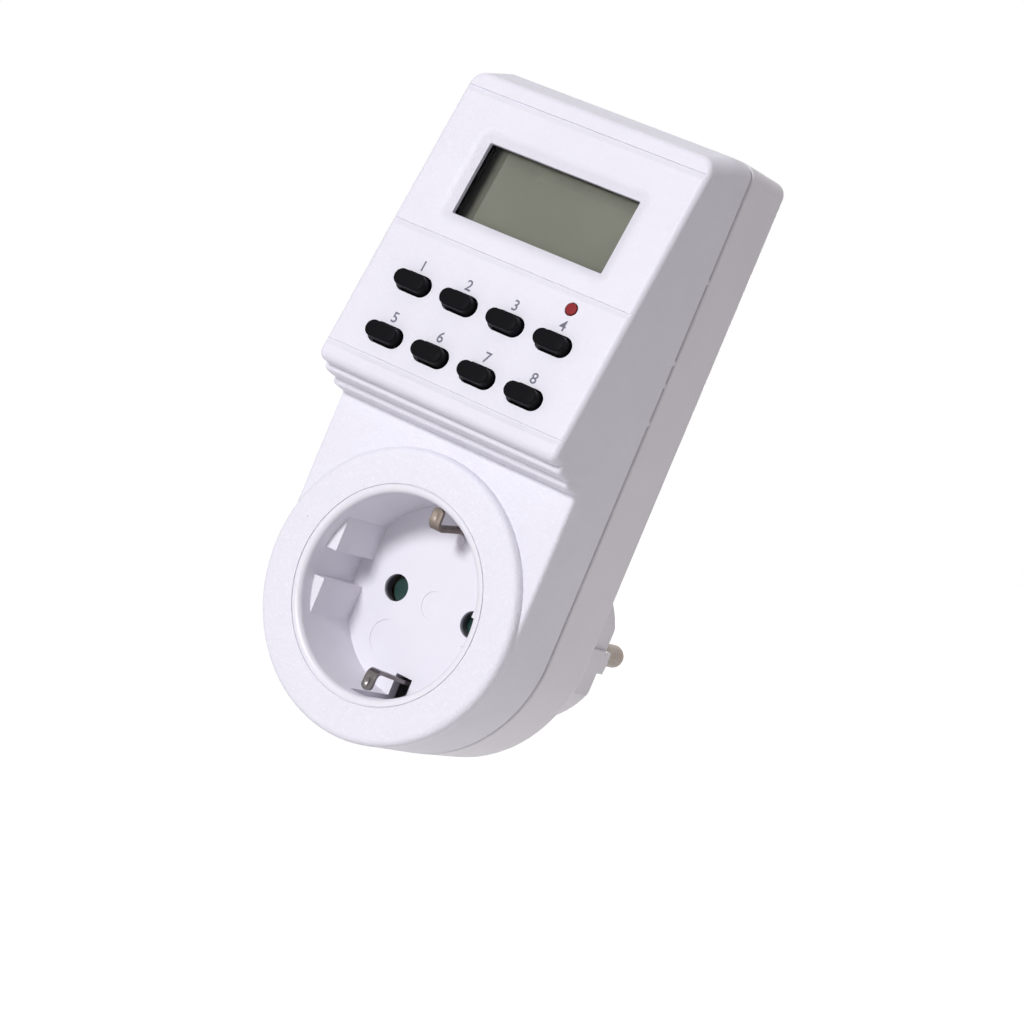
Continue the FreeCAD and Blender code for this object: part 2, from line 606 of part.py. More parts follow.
def draw_round_frame(sketch, half, low, high, corner):
    """A rectangle centred on the upright axis, with four round corners."""
    inner = "((%s) - (%s))" % (half, corner)
    foot = "((%s) + (%s))" % (low, corner)
    head = "((%s) - (%s))" % (high, corner)
    middles = [(inner, foot), (inner, head), ("-" + inner, head), ("-" + inner, foot)]
    reach = [Vector(0, -1, 0), Vector(1, 0, 0), Vector(0, 1, 0), Vector(-1, 0, 0), Vector(0, -1, 0)]
    pieces = []
    for k, (x, y) in enumerate(middles):
        pieces.append(draw_arc(sketch, spot(x, y), worth(corner), k + 3, k + 4))
        after = spot(*middles[(k + 1) % 4])
        out = reach[k + 1] * worth(corner)
        pieces.append(draw_line(sketch, spot(x, y) + out, after + out))
    chain(sketch, pieces)
    for k, (x, y) in enumerate(middles):
        arc = pieces[2 * k]
        fix_point(sketch, arc, 3, x, y)
        hold(sketch, "Radius", arc, formula=corner)
        tie(sketch, ("Vertical", "Horizontal")[k % 2], arc, 3, arc, 1)
        tie(sketch, ("Horizontal", "Vertical")[k % 2], arc, 3, arc, 2)


def draw_circle(sketch, x, y, r):
    index = sketch.addGeometry(Part.Circle(spot(x, y), Vector(0, 0, 1), worth(r)))
    fix_point(sketch, index, 3, x, y)
    hold(sketch, "Radius", index, formula=r)


def draw_circles(sketch, places, r):
    for x, y in places:
        draw_circle(sketch, x, y, r)


def draw_cut_disc(sketch, r, half):
    """A disc with two level chords, one above and one below the middle."""
    turn = math.asin(worth(half) / worth(r)) / (math.pi / 2)
    chord = "sqrt((%s) ^ 2 - (%s) ^ 2)" % (r, half)
    right = draw_arc(sketch, Vector(), worth(r), -turn, turn)
    top = draw_line(sketch, spot(chord, half), spot("-" + chord, half))
    left = draw_arc(sketch, Vector(), worth(r), 2 - turn, 2 + turn)
    low = draw_line(sketch, spot("-" + chord, "-(%s)" % half), spot(chord, "-(%s)" % half))
    chain(sketch, [right, top, left, low])
    for arc in (right, left):
        tie(sketch, "Coincident", arc, 3, -1, 1)
        tie(sketch, "Vertical", arc, 1, arc, 2)
    hold(sketch, "Radius", right, formula=r)
    hold(sketch, "DistanceY", -1, 1, right, 2, formula=half)
    tie(sketch, "Horizontal", top)


def draw_stadium(sketch, x, y, length, width):
    """A slot with round ends, lying along X."""
    ends = ["%s %s ((%s) - (%s)) / 2" % (x, sign, length, width) for sign in "+-"]
    r = "(%s) / 2" % width
    right = draw_arc(sketch, spot(ends[0], y), worth(r), -1, 1)
    top = draw_line(sketch, spot(ends[0], "%s + %s" % (y, r)), spot(ends[1], "%s + %s" % (y, r)))
    left = draw_arc(sketch, spot(ends[1], y), worth(r), 1, 3)
    low = draw_line(sketch, spot(ends[1], "%s - %s" % (y, r)), spot(ends[0], "%s - %s" % (y, r)))
    chain(sketch, [right, top, left, low])
    for arc, end in ((right, ends[0]), (left, ends[1])):
        fix_point(sketch, arc, 3, end, y)
        hold(sketch, "Radius", arc, formula=r)
        tie(sketch, "Vertical", arc, 3, arc, 1)
        tie(sketch, "Vertical", arc, 3, arc, 2)


def draw_case_outline(sketch, half, top, corner):
    """The case seen from the front: round below the axis, straight sides, two round corners."""
    wide, high, r = worth(half), worth(top), worth(corner)
    low = draw_arc(sketch, Vector(), wide, 2, 4)
    right = draw_line(sketch, Vector(wide, 0, 0), Vector(wide, high - r, 0))
    right_corner = draw_arc(sketch, Vector(wide - r, high - r, 0), r, 0, 1)
    head = draw_line(sketch, Vector(wide - r, high, 0), Vector(r - wide, high, 0))
    left_corner = draw_arc(sketch, Vector(r - wide, high - r, 0), r, 1, 2)
    left = draw_line(sketch, Vector(-wide, high - r, 0), Vector(-wide, 0, 0))
    chain(sketch, [low, right, right_corner, head, left_corner, left])
    tie(sketch, "Coincident", low, 3, -1, 1)
    for end in (1, 2):
        tie(sketch, "PointOnObject", low, end, -1)
    for line, line_end, arc, head_end in ((right, 2, right_corner, 1), (left, 1, left_corner, 2)):
        tie(sketch, "Vertical", line)
        tie(sketch, "Horizontal", arc, 3, line, line_end)
        tie(sketch, "Vertical", arc, 3, head, head_end)
    tie(sketch, "Horizontal", head)
    tie(sketch, "Equal", right_corner, left_corner)
    hold(sketch, "Radius", low, formula=half)
    hold(sketch, "Radius", right_corner, formula=corner)
    hold(sketch, "DistanceY", -1, 1, head, 1, formula=top)


def draw_round_end(sketch, half, reach):
    """The two corners that lie outside the round lower end, as one outline."""
    r, far = worth(half), worth(reach)
    arc = draw_arc(sketch, Vector(), r, 2, 4)
    points = [Vector(r, 0, 0), Vector(far, 0, 0), Vector(far, -far, 0), Vector(-far, -far, 0),
              Vector(-far, 0, 0), Vector(-r, 0, 0)]
    lines = [draw_line(sketch, a, b) for a, b in zip(points, points[1:])]
    chain(sketch, [arc] + lines)
    tie(sketch, "Coincident", arc, 3, -1, 1)
    fix_point(sketch, lines[0], 1, half, "0")
    fix_point(sketch, lines[2], 1, reach, "-(%s)" % reach)
    fix_point(sketch, lines[3], 1, "-(%s)" % reach, "-(%s)" % reach)
    tie(sketch, "Horizontal", lines[0])
    tie(sketch, "Vertical", lines[1])
    tie(sketch, "Vertical", lines[3])
    tie(sketch, "Horizontal", lines[4])
    tie(sketch, "PointOnObject", arc, 1, -1)


def draw_rounded_step(sketch, r, back, face, corner):
    """Half section of a disc on the Y axis whose outer front edge is round."""
    far, rear_y, front_y, small = worth(r), worth(back), worth(face), worth(corner)
    edge = draw_arc(sketch, Vector(far - small, front_y + small, 0), small, 3, 4)
    side = draw_line(sketch, Vector(far, front_y + small, 0), Vector(far, rear_y, 0))
    rear = draw_line(sketch, Vector(far, rear_y, 0), Vector(0, rear_y, 0))
    axis = draw_line(sketch, Vector(0, rear_y, 0), Vector(0, front_y, 0))
    front = draw_line(sketch, Vector(0, front_y, 0), Vector(far - small, front_y, 0))
    chain(sketch, [edge, side, rear, axis, front])
    tie(sketch, "Vertical", edge, 3, edge, 1)
    tie(sketch, "Horizontal", edge, 3, edge, 2)
    fix_point(sketch, rear, 1, r, back)
    fix_point(sketch, axis, 1, "0", back)
    fix_point(sketch, front, 1, "0", face)
    tie(sketch, "Vertical", side)
    tie(sketch, "Horizontal", front)
    hold(sketch, "Radius", edge, formula=corner)


def feature(body, kind, name, profile, **formulas):
    thing = body.newObject("PartDesign::" + kind, name)
    thing.Profile = profile
    thing.Refine = False
    return bind(thing, **formulas)


def pad(body, name, sketch, length, both=False, back=False):
    thing = feature(body, "Pad", name, sketch, Length=length)
    thing.Midplane = both
    thing.Reversed = back
    return thing


def pocket(body, name, sketch, length, both=False, back=False):
    thing = feature(body, "Pocket", name, sketch, Length=length)
    thing.Midplane = both
    thing.Reversed = back
    return thing


def revolve(body, name, sketch, role):
    thing = body.newObject("PartDesign::Revolution", name)
    thing.Profile = sketch
    thing.ReferenceAxis = (plane_of(body, role), [""])
    thing.Angle = 360
    thing.Refine = False
    return thing


def round_edges(body, name, radius, choose):
    """Round the edges of a body's last feature that the given test picks."""
    doc.recompute()
    shape = body.Tip.Shape
    names = ["Edge%d" % (k + 1) for k, edge in enumerate(shape.Edges) if choose(edge)]
    thing = body.newObject("PartDesign::Fillet", name)
    thing.Base = (thing.BaseFeature, names)
    thing.Refine = False
    return bind(thing, Radius=radius)


def middle(edge):
    return edge.valueAt((edge.FirstParameter + edge.LastParameter) / 2)


def close(a, b, room=0.02):
    return abs(a - b) < room


def along_x(edge):
    ends = [v.Point for v in edge.Vertexes]
    return len(ends) == 2 and close(ends[0].y, ends[1].y) and close(ends[0].z, ends[1].z)

# Front shell

STEP_SLOPE = "(step_rise / step_run)"


def panel_point(up, out):
    """Formulas for a point of the panel's side view: up the panel, and out of it."""
    return ("panel_y + (%s) * sin(tilt) - (%s) * cos(tilt)" % (up, out),
            "panel_ref + (%s) * cos(tilt) + (%s) * sin(tilt)" % (up, out))


OUTER_VIEW = [
    ("shell_end", "-half_w"),
    ("plate_y", "-half_w"),
    ("plate_y", "step_z"),
    ("plate_y - step_run", "step_z + step_lean"),
    ("plate_y - step_run", "step_z + step_rise"),
    ("plate_y - 2 * step_run", "step_z + step_rise + step_lean"),
    ("plate_y - 2 * step_run", "step_z + 2 * step_rise"),
    ("lip_y", "lip_z"),
    ("brow_y", "brow_z"),
    ("brow_y + top_run", "brow_z + top_rise"),
    ("shell_end", "top_z"),
]

INNER_VIEW = [
    ("part_y + wall", "0"),
    ("plate_in", "0"),
    ("plate_in", "step_in + " + STEP_SLOPE + " * (plate_y - plate_in)"),
    ("panel_y + skin + (heel_z - panel_ref) * tan(tilt)", "heel_z"),
    ("brow_y + skin - wall * tan(tilt)", "brow_z - wall"),
    ("brow_y + top_run", "brow_z + top_rise - wall"),
    ("part_y + wall", "top_z - wall"),
]

shell = new_body("front_shell")
side_view = new_sketch(shell, "shell_side_view", "YZ_Plane")
draw_loop(side_view, OUTER_VIEW)
pad(shell, "shell_block", side_view, "2 * half_w", both=True)

low_corners = new_sketch(shell, "shell_low_corners", "XZ_Plane")
draw_round_end(low_corners, "half_w", "half_w + wall")
low_cut = pocket(shell, "shell_low_cut", low_corners, "1", both=True)
low_cut.Type = "ThroughAll"

round_edges(shell, "shell_top_corners", "corner_r", lambda edge: (
    not close(edge.Vertexes[0].Y, edge.Vertexes[-1].Y) and middle(edge).z > n.brow_z
    and close(abs(middle(edge).x), n.half_w)))
round_edges(shell, "shell_brow", "brow_round", lambda edge: (
    close(middle(edge).y, n.brow_y) and middle(edge).z > n.brow_z - n.corner_r))
round_edges(shell, "shell_lip", "lip_round", lambda edge: (
    close(middle(edge).y, n.lip_y) and along_x(edge)))
round_edges(shell, "shell_noses", "step_round", lambda edge: along_x(edge) and (
    (close(middle(edge).y, n.plate_y - n.step_run)
     and close(middle(edge).z, n.step_z + n.step_lean))
    or (close(middle(edge).y, n.plate_y - 2 * n.step_run)
        and close(middle(edge).z, n.step_z + n.step_rise + n.step_lean))))
round_edges(shell, "shell_sides", "edge_r", lambda edge: (
    middle(edge).y < n.plate_y + 0.01 and middle(edge).z < n.step_z + 2 * n.step_rise - 0.1
    and middle(edge).y > n.plate_y - 2 * n.step_run - 0.1 and not along_x(edge)
    and close(math.hypot(middle(edge).x, min(middle(edge).z, 0)), n.half_w)))

round_edges(shell, "shell_end_edge", "shell_end_round", lambda edge: (
    close(middle(edge).y, n.shell_end)))

ring = new_sketch(shell, "shell_ring", "XY_Plane")
draw_rounded_step(ring, "half_w", "plate_y + wall / 2", "ring_y", "ring_round")
revolve(shell, "shell_ring_turned", ring, "Y_Axis")
inner_view = new_sketch(shell, "shell_inner_view", "YZ_Plane")
draw_loop(inner_view, INNER_VIEW)
pocket(shell, "shell_room", inner_view, "2 * (half_w - wall)", both=True)

round_room = new_sketch(shell, "shell_round_room", "XZ_Plane", "-part_y")
draw_circle(round_room, "0", "0", "half_w - wall")
pocket(shell, "shell_low_room", round_room, "part_y - plate_in", back=True)

rebate = new_sketch(shell, "shell_rebate", "XZ_Plane", "-part_y")
draw_case_outline(rebate, "half_w - lip_t", "top_z - lip_t", "corner_r - lip_t")
pocket(shell, "shell_rebate_cut", rebate, "tongue_len + tongue_gap", back=True)

cup_hole = new_sketch(shell, "shell_cup_hole", "XZ_Plane", "-plate_in - wall")
draw_circle(cup_hole, "0", "0", "cup_r + cup_gap")
pocket(shell, "shell_cup_hole_cut", cup_hole, "plate_in - ring_y + 2 * wall", back=True)

for name, up in (("top", "groove_top"), ("mid", "-groove_mid"), ("low", "-groove_low")):
    line = new_sketch(shell, "shell_line_" + name, "YZ_Plane")
    draw_loop(line, [panel_point(up, "groove_deep"), panel_point(up, "-groove_deep"),
                     panel_point("%s - 2 * groove_w" % up, "groove_deep")])
    pocket(shell, "shell_line_%s_cut" % name, line, "2 * (half_w + wall)", both=True)

window = panel_sketch(shell, "shell_window", "wall")
draw_round_frame(window, "win_half", "win_low", "win_high", "win_corner")
pocket(shell, "shell_window_cut", window, "3 * wall")

wide = panel_sketch(shell, "shell_window_wide", "bevel_deep")
draw_round_frame(wide, "win_half + 2 * bevel_w", "win_low - 2 * bevel_low",
                 "win_high + 2 * bevel_w", "2 * bevel_corner - win_corner")
narrow = panel_sketch(shell, "shell_window_narrow", "-bevel_deep")
draw_round_frame(narrow, "win_half", "win_low", "win_high", "win_corner")
bevel = shell.newObject("PartDesign::SubtractiveLoft", "shell_window_bevel")
bevel.Profile = wide
bevel.Sections = [narrow]
bevel.Refine = False


def on_panel_face(point):
    """How far a point lies in front of the panel's face."""
    lean = math.radians(n.tilt)
    return (point.z - n.panel_ref) * math.sin(lean) - (point.y - n.panel_y) * math.cos(lean)


round_edges(shell, "shell_window_rim", "bevel_soft", lambda edge: (
    all(close(on_panel_face(v.Point), 0) for v in edge.Vertexes)
    and abs(middle(edge).x) < n.win_half + n.bevel_w + n.groove_deep
    and n.win_low - n.bevel_low - n.groove_deep < (middle(edge).z - n.panel_ref)
    / math.cos(math.radians(n.tilt)) < n.win_high + n.bevel_w + n.groove_deep))

KEYS = {}
for row_index, names in enumerate((("week", "hour", "minute", "recall"),
                                   ("clock", "timer", "mode", "random"))):
    for column, name in enumerate(names):
        KEYS["key_" + name] = ("(%s) * key_pitch" % (column - 1.5),
                               "-key_row - %d * key_pitch" % row_index)
key_holes = panel_sketch(shell, "shell_key_holes", "wall")
for x, up in KEYS.values():
    draw_stadium(key_holes, x, up, "key_len + 2 * key_gap", "key_wid + 2 * key_gap")
draw_circle(key_holes, "reset_x", "-reset_down", "reset_r + reset_gap")
pocket(shell, "shell_key_holes_cut", key_holes, "3 * wall")

BOARD_SCREWS = [("boss_u", "boss_up"), ("-boss_u", "boss_up"),
                ("boss_u", "-boss_down"), ("-boss_u", "-boss_down")]
LOW_SCREWS = [("low_screw", "-low_screw"), ("-low_screw", "-low_screw")]
TOP_SCREWS = [("top_screw_x", "top_screw_z"), ("-top_screw_x", "top_screw_z")]
FLANGE_SCREWS = [("flange_screw_x", "0"), ("-flange_screw_x", "0")]
CARRIER_SCREWS = [("carrier_screw_x", "carrier_screw_z"), ("-carrier_screw_x", "-carrier_screw_z")]

board_bosses = panel_sketch(shell, "shell_board_bosses", "-board_deep")
draw_circles(board_bosses, BOARD_SCREWS, "boss_r")
pad(shell, "shell_board_bosses_pad", board_bosses, "board_deep - wall / 2")
board_pilots = panel_sketch(shell, "shell_board_pilots", "-board_deep")
draw_circles(board_pilots, BOARD_SCREWS, "small_screw_r + screw_gap")
pocket(shell, "shell_board_pilots_cut", board_pilots, "small_screw_len - board_t + pilot_spare",
       back=True)

top_bosses = new_sketch(shell, "shell_top_bosses", "XZ_Plane", "-part_y")
draw_circles(top_bosses, TOP_SCREWS, "cover_boss_r")
pad(shell, "shell_top_bosses_pad", top_bosses,
    "part_y - panel_y - skin / 2 - (top_screw_z - panel_ref) * tan(tilt)")
low_bosses = new_sketch(shell, "shell_low_bosses", "XZ_Plane", "-well_end")
draw_circles(low_bosses, LOW_SCREWS, "cover_boss_r")
pad(shell, "shell_low_bosses_pad", low_bosses, "well_end - plate_in + wall / 2")
top_pilots = new_sketch(shell, "shell_top_pilots", "XZ_Plane", "-part_y")
draw_circles(top_pilots, TOP_SCREWS, "cover_screw_r + screw_gap")
pocket(shell, "shell_top_pilots_cut", top_pilots, "cover_screw_len - well_floor + pilot_spare",
       back=True)
low_pilots = new_sketch(shell, "shell_low_pilots", "XZ_Plane", "-well_end")
draw_circles(low_pilots, LOW_SCREWS, "cover_screw_r + screw_gap")
pocket(shell, "shell_low_pilots_cut", low_pilots, "cover_screw_len - well_floor + pilot_spare",
       back=True)
flange_pilots = new_sketch(shell, "shell_flange_pilots", "XZ_Plane", "-plate_in")
draw_circles(flange_pilots, FLANGE_SCREWS, "small_screw_r + screw_gap")
pocket(shell, "shell_flange_pilots_cut", flange_pilots, "flange_screw_len - flange_t + screw_gap",
       back=True)


# Rear cover with the plug

cover = new_body("rear_cover")
cover_block = new_sketch(cover, "cover_outline", "XZ_Plane", "-part_y - part_gap / 2")
draw_case_outline(cover_block, "half_w", "top_z", "corner_r")
block = pad(cover, "cover_block", cover_block, "rear_y - part_y - part_gap / 2", back=True)
bind(block, TaperAngle="-cover_draft")
round_edges(cover, "cover_rear_edge", "rear_round", lambda edge: (
    close(middle(edge).y, n.rear_y)))
round_edges(cover, "cover_front_edge", "cover_end_round", lambda edge: (
    close(middle(edge).y, n.part_y + n.part_gap / 2)))
cover_room = new_sketch(cover, "cover_room", "XZ_Plane", "-part_y - part_gap / 2")
draw_case_outline(cover_room, "half_w - wall", "top_z - wall", "corner_r - wall / 2")
room = pocket(cover, "cover_room_cut", cover_room, "rear_y - wall - part_y - part_gap / 2")
bind(room, TaperAngle="-cover_draft")
tongue = new_sketch(cover, "cover_tongue", "XZ_Plane", "-part_y - part_gap / 2 - wall / 2")
draw_case_outline(tongue, "half_w - lip_t - tongue_gap", "top_z - lip_t - tongue_gap",
                  "corner_r - lip_t - tongue_gap")
draw_case_outline(tongue, "half_w - wall", "top_z - wall", "corner_r - lip_t - tongue_gap")
pad(cover, "cover_tongue_pad", tongue, "tongue_len + wall / 2")

top_wells = new_sketch(cover, "cover_top_wells", "XZ_Plane", "-part_y")
draw_circles(top_wells, TOP_SCREWS, "well_r + well_t")
pad(cover, "cover_top_wells_pad", top_wells, "rear_y - wall / 2 - part_y", back=True)
low_wells = new_sketch(cover, "cover_low_wells", "XZ_Plane", "-well_end")
draw_circles(low_wells, LOW_SCREWS, "well_r + well_t")
pad(cover, "cover_low_wells_pad", low_wells, "rear_y - wall / 2 - well_end", back=True)
power_bosses = new_sketch(cover, "cover_power_bosses", "XZ_Plane", "-power_y")
POWER_SCREWS = [(side + "(power_half - power_screw_in)", level) for side in ("", "-")
                for level in ("power_low + power_screw_in", "power_high - power_screw_in")]
draw_circles(power_bosses, POWER_SCREWS, "boss_r")
pad(cover, "cover_power_bosses_pad", power_bosses, "power_stand + wall / 2", back=True)

collar = new_sketch(cover, "cover_collar", "XZ_Plane", "-rear_y + wall / 2")
draw_circle(collar, "0", "0", "collar_r")
pad(cover, "cover_collar_pad", collar, "collar_len + wall / 2", back=True)
plug = new_sketch(cover, "cover_plug", "XZ_Plane", "0")
draw_circle(plug, "0", "0", "plug_r")
pad(cover, "cover_plug_pad", plug, "plug_len + collar_wall / 2")
round_edges(cover, "cover_plug_face_edge", "plug_edge", lambda edge: (
    close(middle(edge).y, 0) and close(math.hypot(middle(edge).x, middle(edge).z), n.plug_r)))
flats = new_sketch(cover, "cover_plug_flats", "XZ_Plane", "0")
for side in ("", "-"):
    for level in ("", "-"):
        draw_rectangle(flats, side + "plug_flat", level + "plug_key / 2",
                       side + "(plug_r + wall)", level + "plug_r")
pocket(cover, "cover_plug_flats_cut", flats, "plug_len", back=True)
collar_room = new_sketch(cover, "cover_collar_room", "XZ_Plane", "-rear_y + 2 * wall")
draw_circle(collar_room, "0", "0", "collar_r - collar_wall")
pocket(cover, "cover_collar_room_cut", collar_room, "collar_len + 2 * wall - collar_wall")
plug_room = new_sketch(cover, "cover_plug_room", "XZ_Plane", "plug_face_t")
draw_cut_disc(plug_room, "plug_hollow_r", "plug_hollow_z")
pocket(cover, "cover_plug_room_cut", plug_room, "plug_len + collar_wall - plug_face_t", back=True)
pin_bosses = new_sketch(cover, "cover_pin_boss", "XZ_Plane", "plug_face_t + head_t")
draw_circle(pin_bosses, "0", "0", "cover_boss_r")
pad(cover, "cover_pin_boss_pad", pin_bosses, "head_t + plug_face_t / 2", back=True)

pin_bores = new_sketch(cover, "cover_pin_bores", "XZ_Plane", "0")
draw_circles(pin_bores, [("pin_pitch / 2", "0"), ("-pin_pitch / 2", "0")], "shank_r + shank_gap")
draw_circle(pin_bores, "0", "earth_hole_z", "earth_hole_r")
pocket(cover, "cover_pin_bores_cut", pin_bores, "plug_face_t", back=True)
grooves = new_sketch(cover, "cover_strap_grooves", "XZ_Plane", "0")
slots = new_sketch(cover, "cover_strap_slots", "XZ_Plane", "plug_len")
for side in ("", "-"):
    draw_rectangle(grooves, "-strap_w / 2 - groove_side", side + "strap_z",
                   "strap_w / 2 + groove_side", side + "(plug_r + wall)")
    draw_rectangle(slots, "-strap_w / 2 - groove_side", side + "strap_z",
                   "strap_w / 2 + groove_side", side + "(strap_z + strap_t + groove_side)")
pocket(cover, "cover_strap_grooves_cut", grooves, "plug_len", back=True)
pocket(cover, "cover_strap_slots_cut", slots, "collar_wall", back=True)

for name, places, foot in (("top", TOP_SCREWS, "part_y"), ("low", LOW_SCREWS, "well_end")):
    well = new_sketch(cover, "cover_%s_well_room" % name, "XZ_Plane", "-(%s) - well_floor" % foot)
    draw_circles(well, places, "well_r")
    pocket(cover, "cover_%s_well_cut" % name, well, "rear_y + wall - %s" % foot)
    hole = new_sketch(cover, "cover_%s_hole" % name, "XZ_Plane", "-(%s)" % foot)
    draw_circles(hole, places, "cover_screw_r + hole_gap")
    pocket(cover, "cover_%s_hole_cut" % name, hole, "2 * well_floor")
power_pilots = new_sketch(cover, "cover_power_pilots", "XZ_Plane", "-power_y")
draw_circles(power_pilots, POWER_SCREWS, "small_screw_r + screw_gap")
pocket(cover, "cover_power_pilots_cut", power_pilots, "small_screw_len - board_t + pilot_spare")
pin_pilot = new_sketch(cover, "cover_pin_pilot", "XZ_Plane", "plug_face_t + head_t")
draw_circle(pin_pilot, "0", "0", "small_screw_r + screw_gap")
pocket(cover, "cover_pin_pilot_cut", pin_pilot, "retainer_screw_len - retainer_t + pilot_spare")


# Socket insert: the plug recess

cup = doc.addObject("PartDesign::Body", "cup_body")
turned = new_sketch(cup, "cup_section", "XY_Plane")
draw_loop(turned, [
    ("0", "floor_back"), ("0", "floor_y"), ("recess_r", "floor_y"), ("recess_r", "ring_y"),
    ("cup_r", "ring_y"), ("cup_r", "plate_in"), ("flange_r", "plate_in"),
    ("flange_r", "plate_in + flange_t"), ("cup_r", "plate_in + flange_t"),
    ("cup_r", "floor_back")])
revolve(cup, "cup_turned", turned, "Y_Axis")
round_edges(cup, "cup_mouth", "mouth_round", lambda edge: (
    close(middle(edge).y, n.ring_y)
    and close(math.hypot(middle(edge).x, middle(edge).z), n.recess_r)))

guide_ring = rod("guide_ring", ("0", "ring_y + guide_in", "0"), "+Y", "recess_r + cup_wall / 2",
                 "recess_deep - guide_in + floor_t / 2")
guide_bars = []
for side in ("", "-"):
    for level in ("", "-"):
        guide_bars.append(mid_box("guide_bar", (
            side + "(guide_x + recess_r / 2)", "ring_y + guide_in",
            level + "(guide_slot / 2 + recess_r / 2)"),
            ("recess_r", "recess_deep - guide_in + floor_t / 2", "recess_r")))
guides = common("guides", fuse("guide_bars", *guide_bars), guide_ring)
carrier_bosses = [rod("carrier_boss", (x, "carrier_y", z), "-Y", "boss_r",
                      "shutter_room + floor_t / 2") for x, z in CARRIER_SCREWS]
pip = rod("floor_pip", ("0", "floor_y - pip_up", "pip_z"), "+Y", "pip_r", "pip_up + floor_t / 2")
cup_cuts = []
for side in ("", "-"):
    cup_cuts.append(rod("pin_hole", (side + "pin_pitch / 2", "floor_y - wall", "0"), "+Y",
                        "pin_hole_r", "floor_t + 2 * wall"))
    cup_cuts.append(mid_box("clip_slot", (
        "0", "ring_y + guide_in", side + "(clip_slot_in + recess_r + clip_relief) / 2"),
        ("clip_slot_w", "recess_deep + floor_t", "recess_r + clip_relief - clip_slot_in")))
cup_cuts.append(rod("middle_mark", ("0", "floor_y", "0"), "+Y", "mark_r", "mark_deep"))
cup_cuts.append(rod("gate_mark", ("-gate_x", "floor_y", "-gate_z"), "+Y", "gate_r", "mark_deep"))
for x, z in CARRIER_SCREWS:
    cup_cuts.append(rod("carrier_pilot", (x, "carrier_y", z), "-Y", "small_screw_r + screw_gap",
                        "small_screw_len - carrier_t + pilot_spare"))
for x, z in LOW_SCREWS:
    cup_cuts.append(rod("flange_notch", (x, "plate_in - wall", z), "+Y",
                        "cover_boss_r + notch_gap", "flange_t + 2 * wall"))
for x, z in FLANGE_SCREWS:
    cup_cuts.append(rod("flange_hole", (x, "plate_in - wall", z), "+Y",
                        "small_screw_r + hole_gap", "flange_t + 2 * wall"))
cup_solid = fuse("cup_solid", cup, guides, pip, *carrier_bosses)
keep(cut("socket_insert_cut", cup_solid, *cup_cuts), "socket_insert")

# Child shutter, its spring and the contact carrier

SHUTTER_FRONT = "(floor_back + shutter_gap)"
lobes = [rod("shutter_lobe", (side + "shutter_reach", SHUTTER_FRONT, "0"), "+Y", "shutter_lobe",
             "shutter_t") for side in ("", "-")]
hub = rod("shutter_hub", ("0", SHUTTER_FRONT, "0"), "+Y", "hub_r", "shutter_t")
arms = mid_box("shutter_arms", ("0", SHUTTER_FRONT, "0"),
               ("2 * shutter_reach", "shutter_t", "shutter_arm"))
hub_hole = rod("shutter_hub_hole", ("0", SHUTTER_FRONT + " - wall", "0"), "+Y",
               "spigot_r + spigot_gap", "shutter_t + 2 * wall")
keep(cut("shutter_cut", fuse("shutter_solid", hub, arms, *lobes), hub_hole), "child_shutter")

plate = mid_box("carrier_plate", ("0", "carrier_y", "0"),
                ("2 * carrier_x", "carrier_t", "2 * carrier_z"))
feet = [mid_box("carrier_foot", (side + "(carrier_x - foot_t / 2)", "floor_back", "0"),
                ("foot_t", "shutter_room + carrier_t / 2", "2 * foot_z")) for side in ("", "-")]
spigot = rod("shutter_spigot", ("0", SHUTTER_FRONT, "0"), "+Y", "spigot_r",
             "shutter_room - shutter_gap + carrier_t / 2")
shoulder = rod("shutter_shoulder", ("0", SHUTTER_FRONT + " + shutter_t + shutter_gap", "0"), "+Y",
               "shoulder_r", "shutter_room - shutter_t - 2 * shutter_gap + carrier_t / 2")
towers = [mid_box("contact_tower", (side + "pin_pitch / 2", "carrier_y", "0"),
                  ("2 * tower_x", "carrier_t + tower_len", "2 * tower_z")) for side in ("", "-")]
carrier_cuts = []
for side in ("", "-"):
    carrier_cuts.append(mid_box("tower_room", (
        side + "pin_pitch / 2", "carrier_y + tower_front", "0"),
        ("2 * (tower_x - tower_t)", "carrier_t + tower_len", "2 * (tower_z - tower_t)")))
    carrier_cuts.append(rod("carrier_pin_hole", (side + "pin_pitch / 2", "carrier_y - wall", "0"),
                            "+Y", "tower_hole_r", "carrier_t + wall"))
for x, z in CARRIER_SCREWS:
    carrier_cuts.append(rod("carrier_hole", (x, "carrier_y - wall", z), "+Y",
                            "small_screw_r + hole_gap", "carrier_t + 2 * wall"))
carrier_solid = fuse("carrier_solid", plate, spigot, shoulder, *(feet + towers))
keep(cut("carrier_cut", carrier_solid, *carrier_cuts), "contact_carrier")


# Bent strips and wires: straight runs joined by tangent arcs

def bend_path(points, bend):
    edges = []
    start = points[0]
    for before, corner, after in zip(points, points[1:], points[2:]):
        to_start = (before - corner).normalize()
        to_end = (after - corner).normalize()
        half_angle = to_start.getAngle(to_end) / 2
        reach = bend / math.tan(half_angle)
        inward = (to_start + to_end).normalize()
        arc_middle = corner + inward * (bend / math.sin(half_angle) - bend)
        arc_start = corner + to_start * reach
        arc_end = corner + to_end * reach
        if (arc_start - start).Length > 1e-6:
            edges.append(Part.makeLine(start, arc_start))
        edges.append(Part.Arc(arc_start, arc_middle, arc_end).toShape())
        start = arc_end
    edges.append(Part.makeLine(start, points[-1]))
    return Part.Wire(edges)


def solid_thing(name, shape):
    thing = doc.addObject("Part::Feature", name)
    thing.Shape = shape
    return thing


def wire(name, points, r, bend):
    path = [Vector(*point) for point in points]
    ring = Part.Wire(Part.makeCircle(r, path[0], path[1] - path[0]))
    return solid_thing(name, bend_path(path, bend).makePipeShell([ring], True, False))


